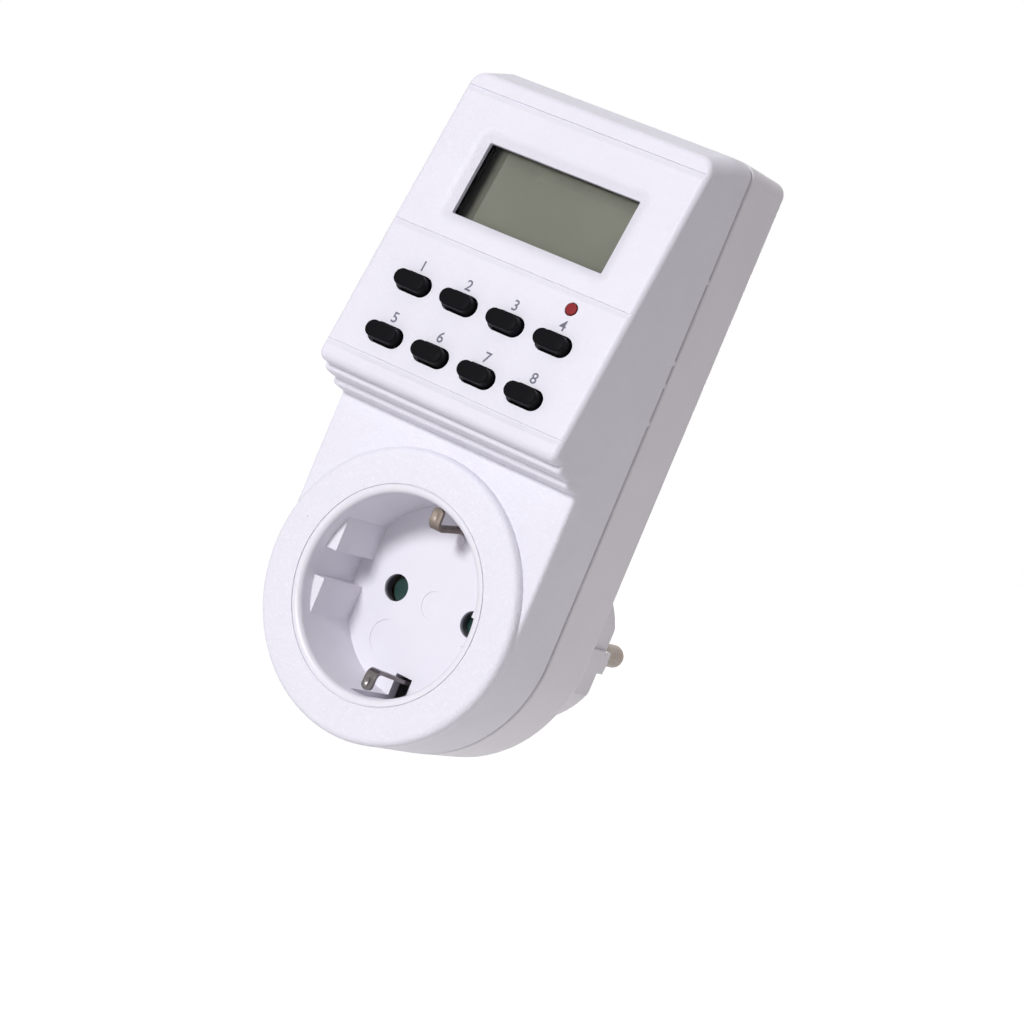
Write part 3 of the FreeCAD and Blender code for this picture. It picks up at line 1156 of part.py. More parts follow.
def strip(name, points, x, w, t, bend):
    """A flat strip of width w across X, bent through points given as (y, z)."""
    path = [Vector(x, y, z) for y, z in points]
    ahead = (path[1] - path[0]).normalize()
    across = Vector(1, 0, 0)
    up = ahead.cross(across)
    corners = [path[0] + across * (a * w / 2) + up * (b * t / 2)
               for a, b in ((1, 1), (-1, 1), (-1, -1), (1, -1), (1, 1))]
    return solid_thing(name, bend_path(path, bend).makePipeShell([Part.makePolygon(corners)],
                                                                 True, False))


turns = Part.makeHelix(n.spring_pitch, 2 * n.spring_pitch, n.spring_r)
coil_ring = Part.Wire(Part.makeCircle(n.spring_wire, Vector(n.spring_r, 0, 0), Vector(0, 1, 0)))
coil = Part.Wire(turns).makePipeShell([coil_ring], True, True)
coil.rotate(Vector(), Vector(1, 0, 0), -90)
coil.translate(Vector(0, n.carrier_y - n.spring_wire - 2 * n.spring_pitch, 0))
keep(solid_thing("spring", coil), "shutter_spring")

# Socket contacts

for label, side in (("line_contact", -1), ("neutral_contact", 1)):
    middle_x = side * n.pin_pitch / 2
    pinch = (n.contact_grip + n.contact_t) / 2
    mouth = n.carrier_y + n.tower_front + n.contact_t
    rear = n.tower_y + n.contact_t / 2
    root = n.tower_z - n.tower_t - n.contact_t - n.contact_gap
    blades = []
    for level in (1, -1):
        blades.append(strip("contact_blade", [
            (mouth, level * (pinch + n.contact_t)), (mouth + n.contact_pinch, level * pinch),
            (rear, level * root)], middle_x, n.contact_w, n.contact_t, n.contact_t))
    bridge = mid_box("contact_bridge", ("%d * pin_pitch / 2" % side, "tower_y", "0"),
                     ("contact_w", "contact_t", "2 * (tower_z - tower_t + contact_lap)"))
    keep(fuse(label + "_solid", bridge, *blades), label)

# Plug pins and the plate that holds them

for label, side in (("plug_pin_left", "-"), ("plug_pin_right", "")):
    pin = new_body(label)
    put(pin, x=side + "pin_pitch / 2")
    section = new_sketch(pin, label + "_section", "XY_Plane")
    draw_loop(section, [
        ("0", "-plug_face_t - head_t - stud_len"), ("0", "pin_len"), ("pin_r", "pin_len"),
        ("pin_r", "0"), ("shank_r", "0"), ("shank_r", "-plug_face_t"), ("head_r", "-plug_face_t"),
        ("head_r", "-plug_face_t - head_t"), ("stud_r", "-plug_face_t - head_t"),
        ("stud_r", "-plug_face_t - head_t - stud_len")])
    revolve(pin, label + "_turned", section, "Y_Axis")
    round_edges(pin, label + "_tip", "pin_tip", lambda edge: close(middle(edge).y, n.pin_len))

retainer = mid_box("retainer_plate", ("0", "-plug_face_t - head_t - retainer_t", "0"),
                   ("2 * retainer_x", "retainer_t", "2 * retainer_z"))
stud_holes = [rod("stud_hole", (side + "pin_pitch / 2", "-plug_face_t - head_t - 2 * retainer_t",
                                "0"), "+Y", "stud_r + hole_gap", "3 * retainer_t")
              for side in ("", "-")]
middle_hole = rod("retainer_hole", ("0", "-plug_face_t - head_t - 2 * retainer_t", "0"), "+Y",
                  "small_screw_r + hole_gap", "3 * retainer_t")
keep(cut("retainer_cut", retainer, middle_hole, *stud_holes), "pin_retainer")

# Earth straps with their clips, the bridge between them and the earth pin's sleeve

STRAP_MID = "(strap_z + strap_t / 2)"
for label, level in (("earth_strap_top", ""), ("earth_strap_bottom", "-")):
    sign = -1 if level else 1
    flat = mid_box(label + "_flat", ("0", "carrier_y + carrier_t", level + STRAP_MID),
                   ("strap_w", "-strap_end - carrier_y - carrier_t", "strap_t"))
    high = n.strap_z + n.strap_t / 2
    low = high - n.clip_lean
    nose = n.ring_y + n.clip_front
    clip = strip(label + "_clip", [
        (n.carrier_y + n.carrier_t + n.strap_w, sign * high), (n.floor_y - n.strap_t, sign * high),
        (nose, sign * low), (nose - n.clip_push, sign * (low + n.clip_bend + n.clip_tail))],
        0, n.clip_w, n.strap_t, n.clip_bend)
    tip_corners = [edge for edge in clip.Shape.Edges
                   if close(edge.Length, n.strap_t) and abs(middle(edge).z) > low + n.clip_tail]
    clip.Shape = clip.Shape.makeFillet(n.clip_tip, tip_corners)
    keep(fuse(label + "_solid", flat, clip), label)

keep(mid_box("bridge_strip", ("0", "-bridge_y - strap_t", "0"), ("bridge_w", "strap_t",
                                                                "2 * strap_z")), "earth_bridge")
SLEEVE_R = "(pin_r + sleeve_gap)"
sleeve = rod("sleeve_tube", ("0", "-plug_face_t", "earth_hole_z"), "-Y",
             SLEEVE_R + " + earth_sleeve_t", "earth_sleeve_len")
tail = mid_box("sleeve_tail", ("0", "-bridge_y",
                               "earth_hole_z + %s + earth_sleeve_t / 2" % SLEEVE_R),
               ("pin_r", "bridge_y - plug_face_t - earth_sleeve_len + strap_t", "earth_sleeve_t"))
bore = rod("sleeve_bore", ("0", "-plug_face_t + wall", "earth_hole_z"), "-Y", SLEEVE_R,
           "earth_sleeve_len + 2 * wall")
keep(cut("sleeve_cut", fuse("sleeve_solid", sleeve, tail), bore), "earth_sleeve")


# Parts behind the panel: X across, Y up the panel, Z out of it

pane = mid_box("pane", ("0", "win_low - pane_lap", "-wall - pane_t / 2"),
               ("2 * (win_half + pane_lap)", "win_high - win_low + 2 * pane_lap", "pane_t"))
keep(on_panel(group("pane_seat", pane)), "display_window")

GLASS_FRONT = "(wall + pane_t + glass_gap)"
GLASS_BACK = "(wall + pane_t + glass_gap + glass_t)"
GLASS_SIZE = ("2 * (win_half + glass_lap)", "win_high - win_low + 2 * glass_lap", "glass_t")
glass = mid_box("glass", ("0", "win_low - glass_lap", "-%s - glass_t / 2" % GLASS_FRONT),
                GLASS_SIZE)
keep(on_panel(group("glass_seat", glass)), "lcd_panel")

HOLDER_DEEP = "(board_deep - wall - pane_t)"
HOLDER_LOW = "(win_low - glass_lap - part_play - holder_t)"
holder_block = mid_box("holder_block", ("0", HOLDER_LOW, "(%s / 2 - board_deep)" % HOLDER_DEEP),
                       ("2 * holder_half", "holder_top - " + HOLDER_LOW, HOLDER_DEEP))
ROOM_DEEP = "(board_deep + wall - %s)" % GLASS_FRONT
holder_room = mid_box("holder_room", ("0", HOLDER_LOW + " + holder_t",
                                      "(%s / 2 - board_deep - wall)" % ROOM_DEEP),
                      ("2 * (holder_half - holder_t)",
                       "holder_top - %s - 2 * holder_t" % HOLDER_LOW, ROOM_DEEP))
holder_view = mid_box("holder_view", ("0", "win_low - part_play", "-board_deep / 2"),
                      ("2 * (win_half + part_play)", "win_high - win_low + 2 * part_play",
                       "board_deep"))
keep(on_panel(cut("holder", holder_block, holder_room, holder_view)), "lcd_holder")

zebra = mid_box("zebra", ("0", "win_low - glass_lap", "-(board_deep + %s) / 2" % GLASS_BACK),
                ("2 * win_half", "zebra_w", "board_deep - " + GLASS_BACK))
keep(on_panel(group("zebra_seat", zebra)), "connector_strip")

COLLAR_BACK = "(wall + collar_t)"


def finish_button(body, label, stem_r):
    """Add the plunger and seat the button on the panel."""
    stem = new_sketch(body, label + "_stem", "XY_Plane", "-%s - stem_len" % COLLAR_BACK)
    draw_circle(stem, *BUTTON_PLACES[label], stem_r)
    pad(body, label + "_stem_pad", stem, "stem_len + collar_t / 2")
    on_panel(body)


BUTTON_PLACES = dict(KEYS, reset_button=("reset_x", "-reset_down"))
for label, (x, up) in KEYS.items():
    key = new_body(label)
    cap = new_sketch(key, label + "_cap", "XY_Plane", "-wall - collar_t / 2")
    draw_stadium(cap, x, up, "key_len", "key_wid")
    pad(key, label + "_cap_pad", cap, "key_out + wall + collar_t / 2")
    round_edges(key, label + "_cap_edge", "key_edge", lambda edge: (
        close(edge.BoundBox.ZMin, n.key_out)))
    rim = new_sketch(key, label + "_rim", "XY_Plane", "-" + COLLAR_BACK)
    draw_stadium(rim, x, up, "key_len + 2 * key_lap", "key_wid + 2 * key_lap")
    pad(key, label + "_rim_pad", rim, "collar_t")
    finish_button(key, label, "stem_r")
reset = new_body("reset_button")
reset_cap = new_sketch(reset, "reset_cap", "XY_Plane", "-wall - collar_t / 2")
draw_circle(reset_cap, "reset_x", "-reset_down", "reset_r")
pad(reset, "reset_cap_pad", reset_cap, "reset_out + wall + collar_t / 2")
reset_rim = new_sketch(reset, "reset_rim", "XY_Plane", "-" + COLLAR_BACK)
draw_circle(reset_rim, "reset_x", "-reset_down", "reset_r + key_lap")
pad(reset, "reset_rim_pad", reset_rim, "collar_t")
finish_button(reset, "reset_button", "reset_r - reset_out")

MAT_FRONT = "(board_deep - mat_t)"
DOME_UP = "(board_deep - mat_t - wall - collar_t - stem_len - key_travel - dome_clear)"
mat_base = box("mat_base", ("-1.5 * key_pitch - dome_r - mat_edge",
                            "-key_row - key_pitch - dome_r - mat_edge", "-board_deep"),
               ("3 * key_pitch + 2 * (dome_r + mat_edge)",
                "key_row + key_pitch - reset_down + 2 * (dome_r + mat_edge)", "mat_t"))
domes = [cone("mat_dome", (x, up, "-" + MAT_FRONT), "+Z", "dome_r", "dome_top_r", DOME_UP)
         for x, up in BUTTON_PLACES.values()]
keep(on_panel(fuse("mat", mat_base, *domes)), "key_mat")

board = box("board", ("-board_half", "-board_down", "-board_back"),
            ("2 * board_half", "board_up + board_down", "board_t"))
board_holes = [rod("board_hole", (x, up, "-board_back - wall"), "+Z", "small_screw_r + hole_gap",
                   "board_t + 2 * wall") for x, up in BOARD_SCREWS]
keep(on_panel(cut("board_cut", board, *board_holes)), "control_board")

chip = cone("chip", ("chip_x", "-chip_down", "-board_back"), "-Z", "chip_r", "chip_top_r",
            "chip_up")
keep(on_panel(group("chip_seat", chip)), "timer_chip")
can_ends = [rod("crystal_end", (side + "(crystal_len - crystal_wid) / 2", "-crystal_down",
                                "-board_back"), "-Z", "crystal_wid / 2", "crystal_up")
            for side in ("", "-")]
can_middle = box("crystal_middle", ("-(crystal_len - crystal_wid) / 2",
                                    "-crystal_down - crystal_wid / 2", "-board_back - crystal_up"),
                 ("crystal_len - crystal_wid", "crystal_wid", "crystal_up"))
keep(on_panel(fuse("crystal", can_middle, *can_ends)), "clock_crystal")

CELL_FACE = "(board_back + tab_t)"
cell = rod("cell", ("-cell_x", "-cell_down", "-" + CELL_FACE), "-Z", "cell_r", "cell_t")
keep(on_panel(group("cell_seat", cell)), "backup_cell")
low_tab = box("low_tab", ("-cell_x - tab_w / 2", "-cell_down - cell_r", "-" + CELL_FACE),
              ("tab_w", "2 * cell_r", "tab_t"))
LEG_UP = "(cell_r - cell_down + tab_gap)"
tab_strip = box("tab_strip", ("-cell_x - tab_w / 2", "-cell_down", "-%s - cell_t - tab_t" % CELL_FACE),
                ("tab_w", "cell_r + tab_gap + tab_t", "tab_t"))
tab_leg = box("tab_leg", ("-cell_x - tab_w / 2", LEG_UP, "-%s - cell_t - tab_t" % CELL_FACE),
              ("tab_w", "tab_t", "cell_t + 2 * tab_t"))
keep(on_panel(group("tabs", low_tab, fuse("high_tab", tab_strip, tab_leg))), "cell_tabs")

# Power board and its parts, standing on the board's front face

power = box("power_plate", ("-power_half", "power_face", "power_low"),
            ("2 * power_half", "board_t", "power_high - power_low"))
power_holes = [rod("power_hole", (x, "power_face - wall", z), "+Y", "small_screw_r + hole_gap",
                   "board_t + 2 * wall") for x, z in POWER_SCREWS]
keep(cut("power_cut", power, *power_holes), "power_board")

INNER_X = "(relay_w / 2 - relay_case_t - relay_case_gap)"
INNER_Z = "(relay_d / 2 - relay_case_t - relay_case_gap)"
keep(mid_box("relay_foot", ("0", "power_face - relay_base_t", "relay_z"),
             ("2 * " + INNER_X, "relay_base_t", "2 * " + INNER_Z)), "relay_base")
case_block = mid_box("relay_block", ("0", "power_face - relay_h", "relay_z"),
                     ("relay_w", "relay_h", "relay_d"))
case_room = mid_box("relay_room", ("0", "power_face - relay_h + relay_case_t", "relay_z"),
                    ("relay_w - 2 * relay_case_t", "relay_h", "relay_d - 2 * relay_case_t"))
keep(cut("relay_case_cut", case_block, case_room), "relay_case")

BASE_Y = "(power_face - relay_base_t)"
COIL_END = "(power_face - relay_base_t - yoke_t - coil_len)"
CORE_END = "(power_face - relay_base_t - yoke_t - coil_len - core_out)"
ARM_BACK = "(power_face - relay_base_t - yoke_t - coil_len - core_out - armature_lift)"
coil_body = rod("coil_body", ("0", BASE_Y + " - yoke_t", "relay_z"), "-Y", "coil_r", "coil_len")
coil_bore = rod("coil_bore", ("0", BASE_Y, "relay_z"), "-Y", "core_r + coil_gap",
                "coil_len + wall")
keep(cut("coil_cut", coil_body, coil_bore), "relay_coil")
yoke_foot = mid_box("yoke_foot", ("(coil_r - yoke_x) / 2", BASE_Y + " - yoke_t", "relay_z"),
                    ("yoke_x + coil_r", "yoke_t", "armature_w"))
PIVOT_Y = "(%s + pivot_in)" % ARM_BACK
yoke_leg = mid_box("yoke_leg", ("-yoke_x", PIVOT_Y, "relay_z"),
                   ("yoke_t", "%s - %s" % (BASE_Y, PIVOT_Y), "armature_w"))
yoke_edge = rod("yoke_edge", ("-yoke_x", PIVOT_Y, "relay_z - armature_w / 2"), "+Z", "yoke_t / 2",
                "armature_w")
core = rod("relay_core", ("0", BASE_Y, "relay_z"), "-Y", "core_r", "yoke_t + coil_len + core_out")
keep(fuse("yoke", yoke_foot, yoke_leg, yoke_edge, core), "relay_yoke")
arm = mid_box("arm_plate", ("(armature_reach - yoke_x - yoke_t) / 2", ARM_BACK + " - yoke_t",
                            "relay_z"),
              ("armature_reach + yoke_x + yoke_t", "yoke_t", "armature_w"))
arm_groove = rod("arm_groove", ("-yoke_x", PIVOT_Y, "relay_z - armature_w"), "+Z",
                 "yoke_t / 2 + pivot_gap", "2 * armature_w")
arm_button = rod("arm_button", ("armature_reach - button_r", ARM_BACK, "relay_z"), "+Y", "button_r",
                 "armature_lift")
keep(fuse("arm", cut("arm_plate_cut", arm, arm_groove), arm_button), "relay_armature")
CONTACT_Y = "(%s + armature_lift + contact_travel)" % ARM_BACK
post = mid_box("contact_post", ("armature_reach - button_r", CONTACT_Y + " + armature_lift",
                                "relay_z"),
               ("2 * button_r", "%s - %s - armature_lift" % (BASE_Y, CONTACT_Y), "2 * button_r"))
fixed_button = rod("fixed_button", ("armature_reach - button_r", CONTACT_Y, "relay_z"), "+Y",
                   "button_r", "armature_lift")
keep(fuse("contact_fixed", post, fixed_button), "relay_contact")

keep(mid_box("film_block", ("-film_x", "power_face - film_h", "film_z"),
             ("film_w", "film_h", "film_d")), "dropper_capacitor")
keep(rod("can_body", ("can_x", "power_face", "can_z"), "-Y", "can_r", "can_h"),
     "filter_capacitor")


def leads(name, places, lift):
    return [rod(name + "_lead", (x, "power_face", z), "-Y", "lead_r", lift) for x, z in places]


disc = rod("disc_body", ("-disc_x", "power_face - lead_up - disc_r", "disc_z - disc_t / 2"), "+Z",
           "disc_r", "disc_t")
keep(fuse("disc", disc, *leads("disc", [("-disc_x - disc_r / 2", "disc_z"),
                                        ("-disc_x + disc_r / 2", "disc_z")],
                               "lead_up + disc_r")), "varistor")
FUSE_Y = "(power_face - lead_up - fuse_cap_r)"
fuse_tube = rod("fuse_tube", ("-fuse_len / 2", FUSE_Y, "fuse_z"), "+X", "fuse_r", "fuse_len")
fuse_caps = [rod("fuse_cap", (x, FUSE_Y, "fuse_z"), "+X", "fuse_cap_r", "fuse_cap")
             for x in ("-fuse_len / 2 - lead_r", "fuse_len / 2 - fuse_cap + lead_r")]
fuse_leads = leads("fuse", [("-(fuse_len - fuse_cap) / 2", "fuse_z"),
                            ("(fuse_len - fuse_cap) / 2", "fuse_z")], "lead_up + fuse_cap_r")
keep(fuse("fuse_solid", fuse_tube, *(fuse_caps + fuse_leads)), "fuse")


def axial(name, x, z, r, length):
    """A small part lying up the board on two bent leads."""
    level = "power_face - lead_up - %s" % r
    body = rod(name + "_body", (x, level, "%s - %s / 2" % (z, length)), "+Z", r, length)
    rail = rod(name + "_rail", (x, level, "%s - %s / 2 - lead_up" % (z, length)), "+Z",
               "rail_r", "%s + 2 * lead_up" % length)
    ends = leads(name, [(x, "%s + %s / 2 + lead_up - lead_r" % (z, length)),
                        (x, "%s - %s / 2 - lead_up + lead_r" % (z, length))],
                 "lead_up + %s + lead_r" % r)
    return fuse(name + "_solid", body, rail, *ends)


keep(group("diode_row", *[axial("diode", "%d * diode_pitch" % k, "diode_z", "diode_r", "diode_len")
                          for k in range(4)]), "diodes")
keep(group("resistor_row", *[axial("resistor", "%d * diode_pitch" % k, "resistor_z",
                                   "resistor_r", "resistor_len") for k in range(2)]),
     "resistors")

# Ribbon cable and mains wires


def panel_place(up, out):
    lean = math.radians(n.tilt)
    return (n.panel_y + up * math.sin(lean) - out * math.cos(lean),
            n.panel_ref + up * math.cos(lean) + out * math.sin(lean))


ribbon_start = panel_place(-n.ribbon_down, -n.board_back)
ribbon_turn = panel_place(-n.ribbon_down, -n.board_back - 2 * n.ribbon_bend)
keep(strip("ribbon", [ribbon_start, ribbon_turn, (n.power_face - 2 * n.ribbon_bend, n.ribbon_z),
                      (n.power_face, n.ribbon_z)],
           n.ribbon_x, n.ribbon_w, n.ribbon_t, n.ribbon_bend), "ribbon_cable")

pin_x = n.pin_pitch / 2
stud_y = -n.plug_face_t - n.head_t - n.stud_len
weld_y = n.tower_y + n.contact_t
rise_y = n.rear_y - n.wall - n.wire_back
turn_y = weld_y + 2 * n.wire_bend
stud_turn = stud_y - 2 * n.wire_bend
MAINS = {
    "live_wire": [(-pin_x, stud_y, 0), (-pin_x, stud_turn, 0), (-pin_x, stud_turn, n.wire_lift),
                  (-pin_x, rise_y, n.wire_lift), (-pin_x, rise_y, n.wire_z),
                  (-pin_x, n.power_y, n.wire_z)],
    "neutral_wire": [(pin_x, weld_y, n.solder_z), (pin_x, turn_y, n.solder_z),
                     (pin_x, turn_y, n.wire_lift), (pin_x, rise_y, n.wire_lift),
                     (pin_x, rise_y, n.wire_z), (pin_x, n.power_y, n.wire_z)],
    "switched_wire": [(-pin_x, weld_y, n.solder_z), (-pin_x, turn_y, n.solder_z),
                      (-n.link_x, turn_y, n.solder_z), (-n.link_x, turn_y, n.wire_lift),
                      (-n.link_x, rise_y, n.wire_lift), (-n.link_x, rise_y, n.wire_z),
                      (-n.link_x, n.power_y, n.wire_z)],
}
for label, points in MAINS.items():
    keep(wire(label + "_run", points, n.wire_r, n.wire_bend), label)
keep(rod("link_run", ("pin_pitch / 2", "tower_y + contact_t", "0"), "+Y", "wire_r",
         "-plug_face_t - head_t - stud_len - tower_y - contact_t"), "neutral_link")

# Screws: the head lies below the seat, the shank points along local Z


def mid_slot(name, head_t, half_x, half_y):
    """One arm of the cross in a screw's head, given by half its two sides."""
    return box(name + "_slot", ("-" + half_x, "-" + half_y, "-" + head_t),
               ("2 * " + half_x, "2 * " + half_y, "slot_deep"))


def screw(name, r, length, head_r, head_t, facing):
    shank = rod(name + "_shank", ("0", "0", "-%s / 2" % head_t), "+Z", r,
                "%s + %s / 2" % (length, head_t))
    head = rod(name + "_head", ("0", "0", "-" + head_t), "+Z", head_r, head_t)
    reach = "(%s - slot_rim)" % head_r
    slots = [mid_slot(name, head_t, "slot_w / 2", reach), mid_slot(name, head_t, reach, "slot_w / 2")]
    thing = cut(name, fuse(name + "_solid", shank, head), *slots)
    thing.Placement = Placement(Vector(), TURN[facing])
    return thing


def small_screw(name, length="small_screw_len", facing="-Y"):
    return screw(name, "small_screw_r", length, "small_head_r", "small_head_t", facing)


small = []
for x, up in BOARD_SCREWS:
    board_screw = small_screw("board_screw", facing="+Z")
    seated = group("board_screw_seat", put(board_screw, x, up, "-board_back"))
    small.append(on_panel(seated))
for x, z in POWER_SCREWS:
    small.append(put(small_screw("power_screw", facing="+Y"), x, "power_face", z))
for x, z in CARRIER_SCREWS:
    small.append(put(small_screw("carrier_screw"), x, "carrier_y + carrier_t", z))
keep(group("small_screw_set", *small), "small_screws")
keep(group("flange_screw_set", *[
    put(small_screw("flange_screw", "flange_screw_len"), x, "plate_in + flange_t", z)
    for x, z in FLANGE_SCREWS]), "flange_screws")
keep(put(small_screw("pin_screw", "retainer_screw_len", "+Y"), "0",
         "-plug_face_t - head_t - retainer_t", "0"), "retainer_screw")
keep(group("cover_screw_set", *[
    put(screw("cover_screw", "cover_screw_r", "cover_screw_len", "cover_head_r", "cover_head_t",
              "-Y"), x, foot + " + well_floor", z)
    for places, foot in ((TOP_SCREWS, "part_y"), (LOW_SCREWS, "well_end")) for x, z in places]),
    "cover_screws")


# Checks and files

doc.recompute()
for thing in doc.Objects:
    if "Invalid" in thing.State or "Error" in thing.State:
        raise RuntimeError("%s is %s" % (thing.Label, thing.State))
for thing in PARTS:
    if thing.Shape.isNull() or not thing.Shape.isValid():
        raise RuntimeError("%s has no sound shape" % thing.Label)
    thing.Shape.exportStep("parts/%s.step" % thing.Label)
print("%d sub-parts" % len(PARTS))
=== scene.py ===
# %% [markdown]
# # Digital plug-in timer
#
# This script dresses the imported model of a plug-in timer so that it looks like its photograph. The
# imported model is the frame: each piece made here is placed in metres from it, with X across the
# case, Z up the case and the front facing -Y.

# %% Load the frame
import json
import math
import bmesh
import bpy
from mathutils import Matrix, Vector


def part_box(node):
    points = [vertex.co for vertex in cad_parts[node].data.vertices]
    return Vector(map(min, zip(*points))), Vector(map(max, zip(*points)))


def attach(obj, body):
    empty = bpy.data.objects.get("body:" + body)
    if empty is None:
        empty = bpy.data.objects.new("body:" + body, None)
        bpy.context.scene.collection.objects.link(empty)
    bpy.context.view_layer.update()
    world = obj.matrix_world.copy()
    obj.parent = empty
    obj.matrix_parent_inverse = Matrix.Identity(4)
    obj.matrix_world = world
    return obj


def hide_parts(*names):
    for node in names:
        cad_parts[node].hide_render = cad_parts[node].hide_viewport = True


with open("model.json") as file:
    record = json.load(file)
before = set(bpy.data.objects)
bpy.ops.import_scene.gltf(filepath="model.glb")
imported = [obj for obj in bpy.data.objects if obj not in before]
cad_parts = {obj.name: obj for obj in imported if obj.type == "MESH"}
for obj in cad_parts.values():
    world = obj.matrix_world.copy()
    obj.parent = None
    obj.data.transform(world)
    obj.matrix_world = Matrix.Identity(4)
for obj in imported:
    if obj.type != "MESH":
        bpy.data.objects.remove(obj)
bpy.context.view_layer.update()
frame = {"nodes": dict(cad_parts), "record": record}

MM = 0.001

# %% [markdown]
# ## Camera
#
# The photograph was taken with a long lens from the front right, and the timer lies turned in it.
# The camera's place and turn were solved from the corners of the case, so the model's edges fall
# on the photographed ones.

# %% Camera
camera = bpy.data.objects.new("camera", bpy.data.cameras.new("camera"))
bpy.context.scene.collection.objects.link(camera)
bpy.context.scene.camera = camera
camera.location = (0.32911, -0.57730, 0.06697)
camera.rotation_mode = "QUATERNION"
camera.rotation_quaternion = (0.653206, 0.680047, 0.048753, 0.329364)
camera.data.sensor_width = 36
camera.data.lens = 115.70
camera.data.clip_start = 0.01

# %% [markdown]
# ## Shader maths
#
# A finish is a drawing made of nodes. To write it as plain formulas, a Value wraps one output
# socket, and its operators add Math nodes. Every node is made by one method, which sets the node's
# settings first and then fills its sockets with numbers or links.

# %% Values that nodes carry


class Value:
    """One output of a node tree. Arithmetic on it adds Math nodes."""

    def __init__(self, tree, socket):
        self.tree = tree
        self.socket = socket

    def math(self, operation, *sources):
        return self.tree.node("ShaderNodeMath", {"operation": operation}, dict(enumerate(sources)))

    def __add__(self, other):
        return self.math("ADD", self, other)

    def __sub__(self, other):
        return self.math("SUBTRACT", self, other)

    def __rsub__(self, other):
        return self.math("SUBTRACT", other, self)

    def __mul__(self, other):
        return self.math("MULTIPLY", self, other)

    def __pow__(self, other):
        return self.math("POWER", self, other)

    def __abs__(self):
        return self.math("ABSOLUTE", self)

    __radd__ = __add__
    __rmul__ = __mul__

    def clamp(self):
        return self.math("MINIMUM", self.math("MAXIMUM", self, 0.0), 1.0)

    def ramp(self, start, end):
        """0 before start, 1 past end, and a straight slope between them."""
        return ((self - start) * (1 / (end - start))).clamp()

# %% Trees that hold nodes


class Tree:
    """A node tree whose nodes are written as formulas."""

    def __init__(self, tree):
        self.tree = tree

    def fill(self, entry, source):
        if isinstance(source, Value):
            self.tree.links.new(source.socket, entry)
        else:
            entry.default_value = source

    def node(self, kind, settings=None, sockets=None, output=0):
        made = self.tree.nodes.new(kind)
        for name, choice in (settings or {}).items():
            setattr(made, name, choice)
        for name, source in (sockets or {}).items():
            self.fill(made.inputs[name], source)
        return Value(self, made.outputs[output])

    def seen(self):
        """1 for what the eye sees straight, in a mirror or through glass."""
        rays = ("Is Camera Ray", "Is Glossy Ray", "Is Transmission Ray")
        return sum(self.node("ShaderNodeLightPath", output=ray) for ray in rays).clamp()


class Finish(Tree):
    """A material with one Principled shader, whose patterns sit still in the timer's frame."""

    def __init__(self, name, color, rough, metal=0.0, **fixed):
        self.material = bpy.data.materials.new(name)
        self.material.use_nodes = True
        super().__init__(self.material.node_tree)
        self.shader = self.material.node_tree.nodes["Principled BSDF"]
        self.place = self.node("ShaderNodeTexCoord", output="Object")
        self.set("Base Color", (*color, 1.0))
        self.set("Roughness", rough)
        self.set("Metallic", metal)
        for entry, number in fixed.items():
            self.set(entry.replace("_", " "), number)

    def set(self, entry, source):
        self.fill(self.shader.inputs[entry], source)

    def noise(self, scale, detail=2.0, rough=0.5, stretch=(1.0, 1.0, 1.0)):
        """Cloudy noise, scale cells to the metre, stretched along the axes."""
        place = self.node("ShaderNodeMapping", None, {"Vector": self.place, "Scale": stretch})
        return self.node("ShaderNodeTexNoise", None, {"Vector": place, "Scale": scale,
                         "Detail": detail, "Roughness": rough}, "Fac")

    def axis(self, name):
        """One coordinate of the surface point, in metres."""
        return self.node("ShaderNodeSeparateXYZ", None, {"Vector": self.place}, name)

    def mix(self, factor, first, second):
        """The first colour where the factor is 0, and the second where it is 1."""
        first, second = [part if isinstance(part, Value) else (*part, 1.0)
                         for part in (first, second)]
        sockets = {0: factor, 6: first, 7: second}
        return self.node("ShaderNodeMix", {"data_type": "RGBA"}, sockets, 2)

    def bump(self, height, distance):
        self.set("Normal", self.node("ShaderNodeBump", None, {"Height": height,
                 "Distance": distance}))

# %% [markdown]
# ## Moulded white plastic
#
# The case is a cold white plastic. The lower plate and the socket's ring carry the coarse texture
# that a spark-eroded mould leaves. Its glitter is painted: light flecks in the colour stand in for
# glints, mostly on the coarse part. The sides, and the panel above the steps, are finer. Noise at
# about 0.6 mm drives the bump, and a level of Z and one of Y bound the coarse part. Dust makes a
# few dark specks.

# %% Case plastic
STEP_LINE = 33.5 * MM
STEP_FADE = 0.4 * MM
PLATE_EDGE = -54.0 * MM
PLATE_FADE = 0.6 * MM
NO_COARSE_PART = -1.0
DUST = (0.12, 0.11, 0.11)


def specks(made, cells, share, size):
    """1 on small round specks that only some cells of the space carry."""
    cell = {"Vector": made.place, "Scale": cells}
    near = made.node("ShaderNodeTexVoronoi", None, cell, "Distance")
    pick = made.node("ShaderNodeTexVoronoi", None, cell, "Color")
    chosen = made.node("ShaderNodeSeparateColor", None, {"Color": pick}, "Red").ramp(
        1 - share, 1 - share + 0.001)
    return (1 - near.ramp(size * 0.6, size)) * chosen


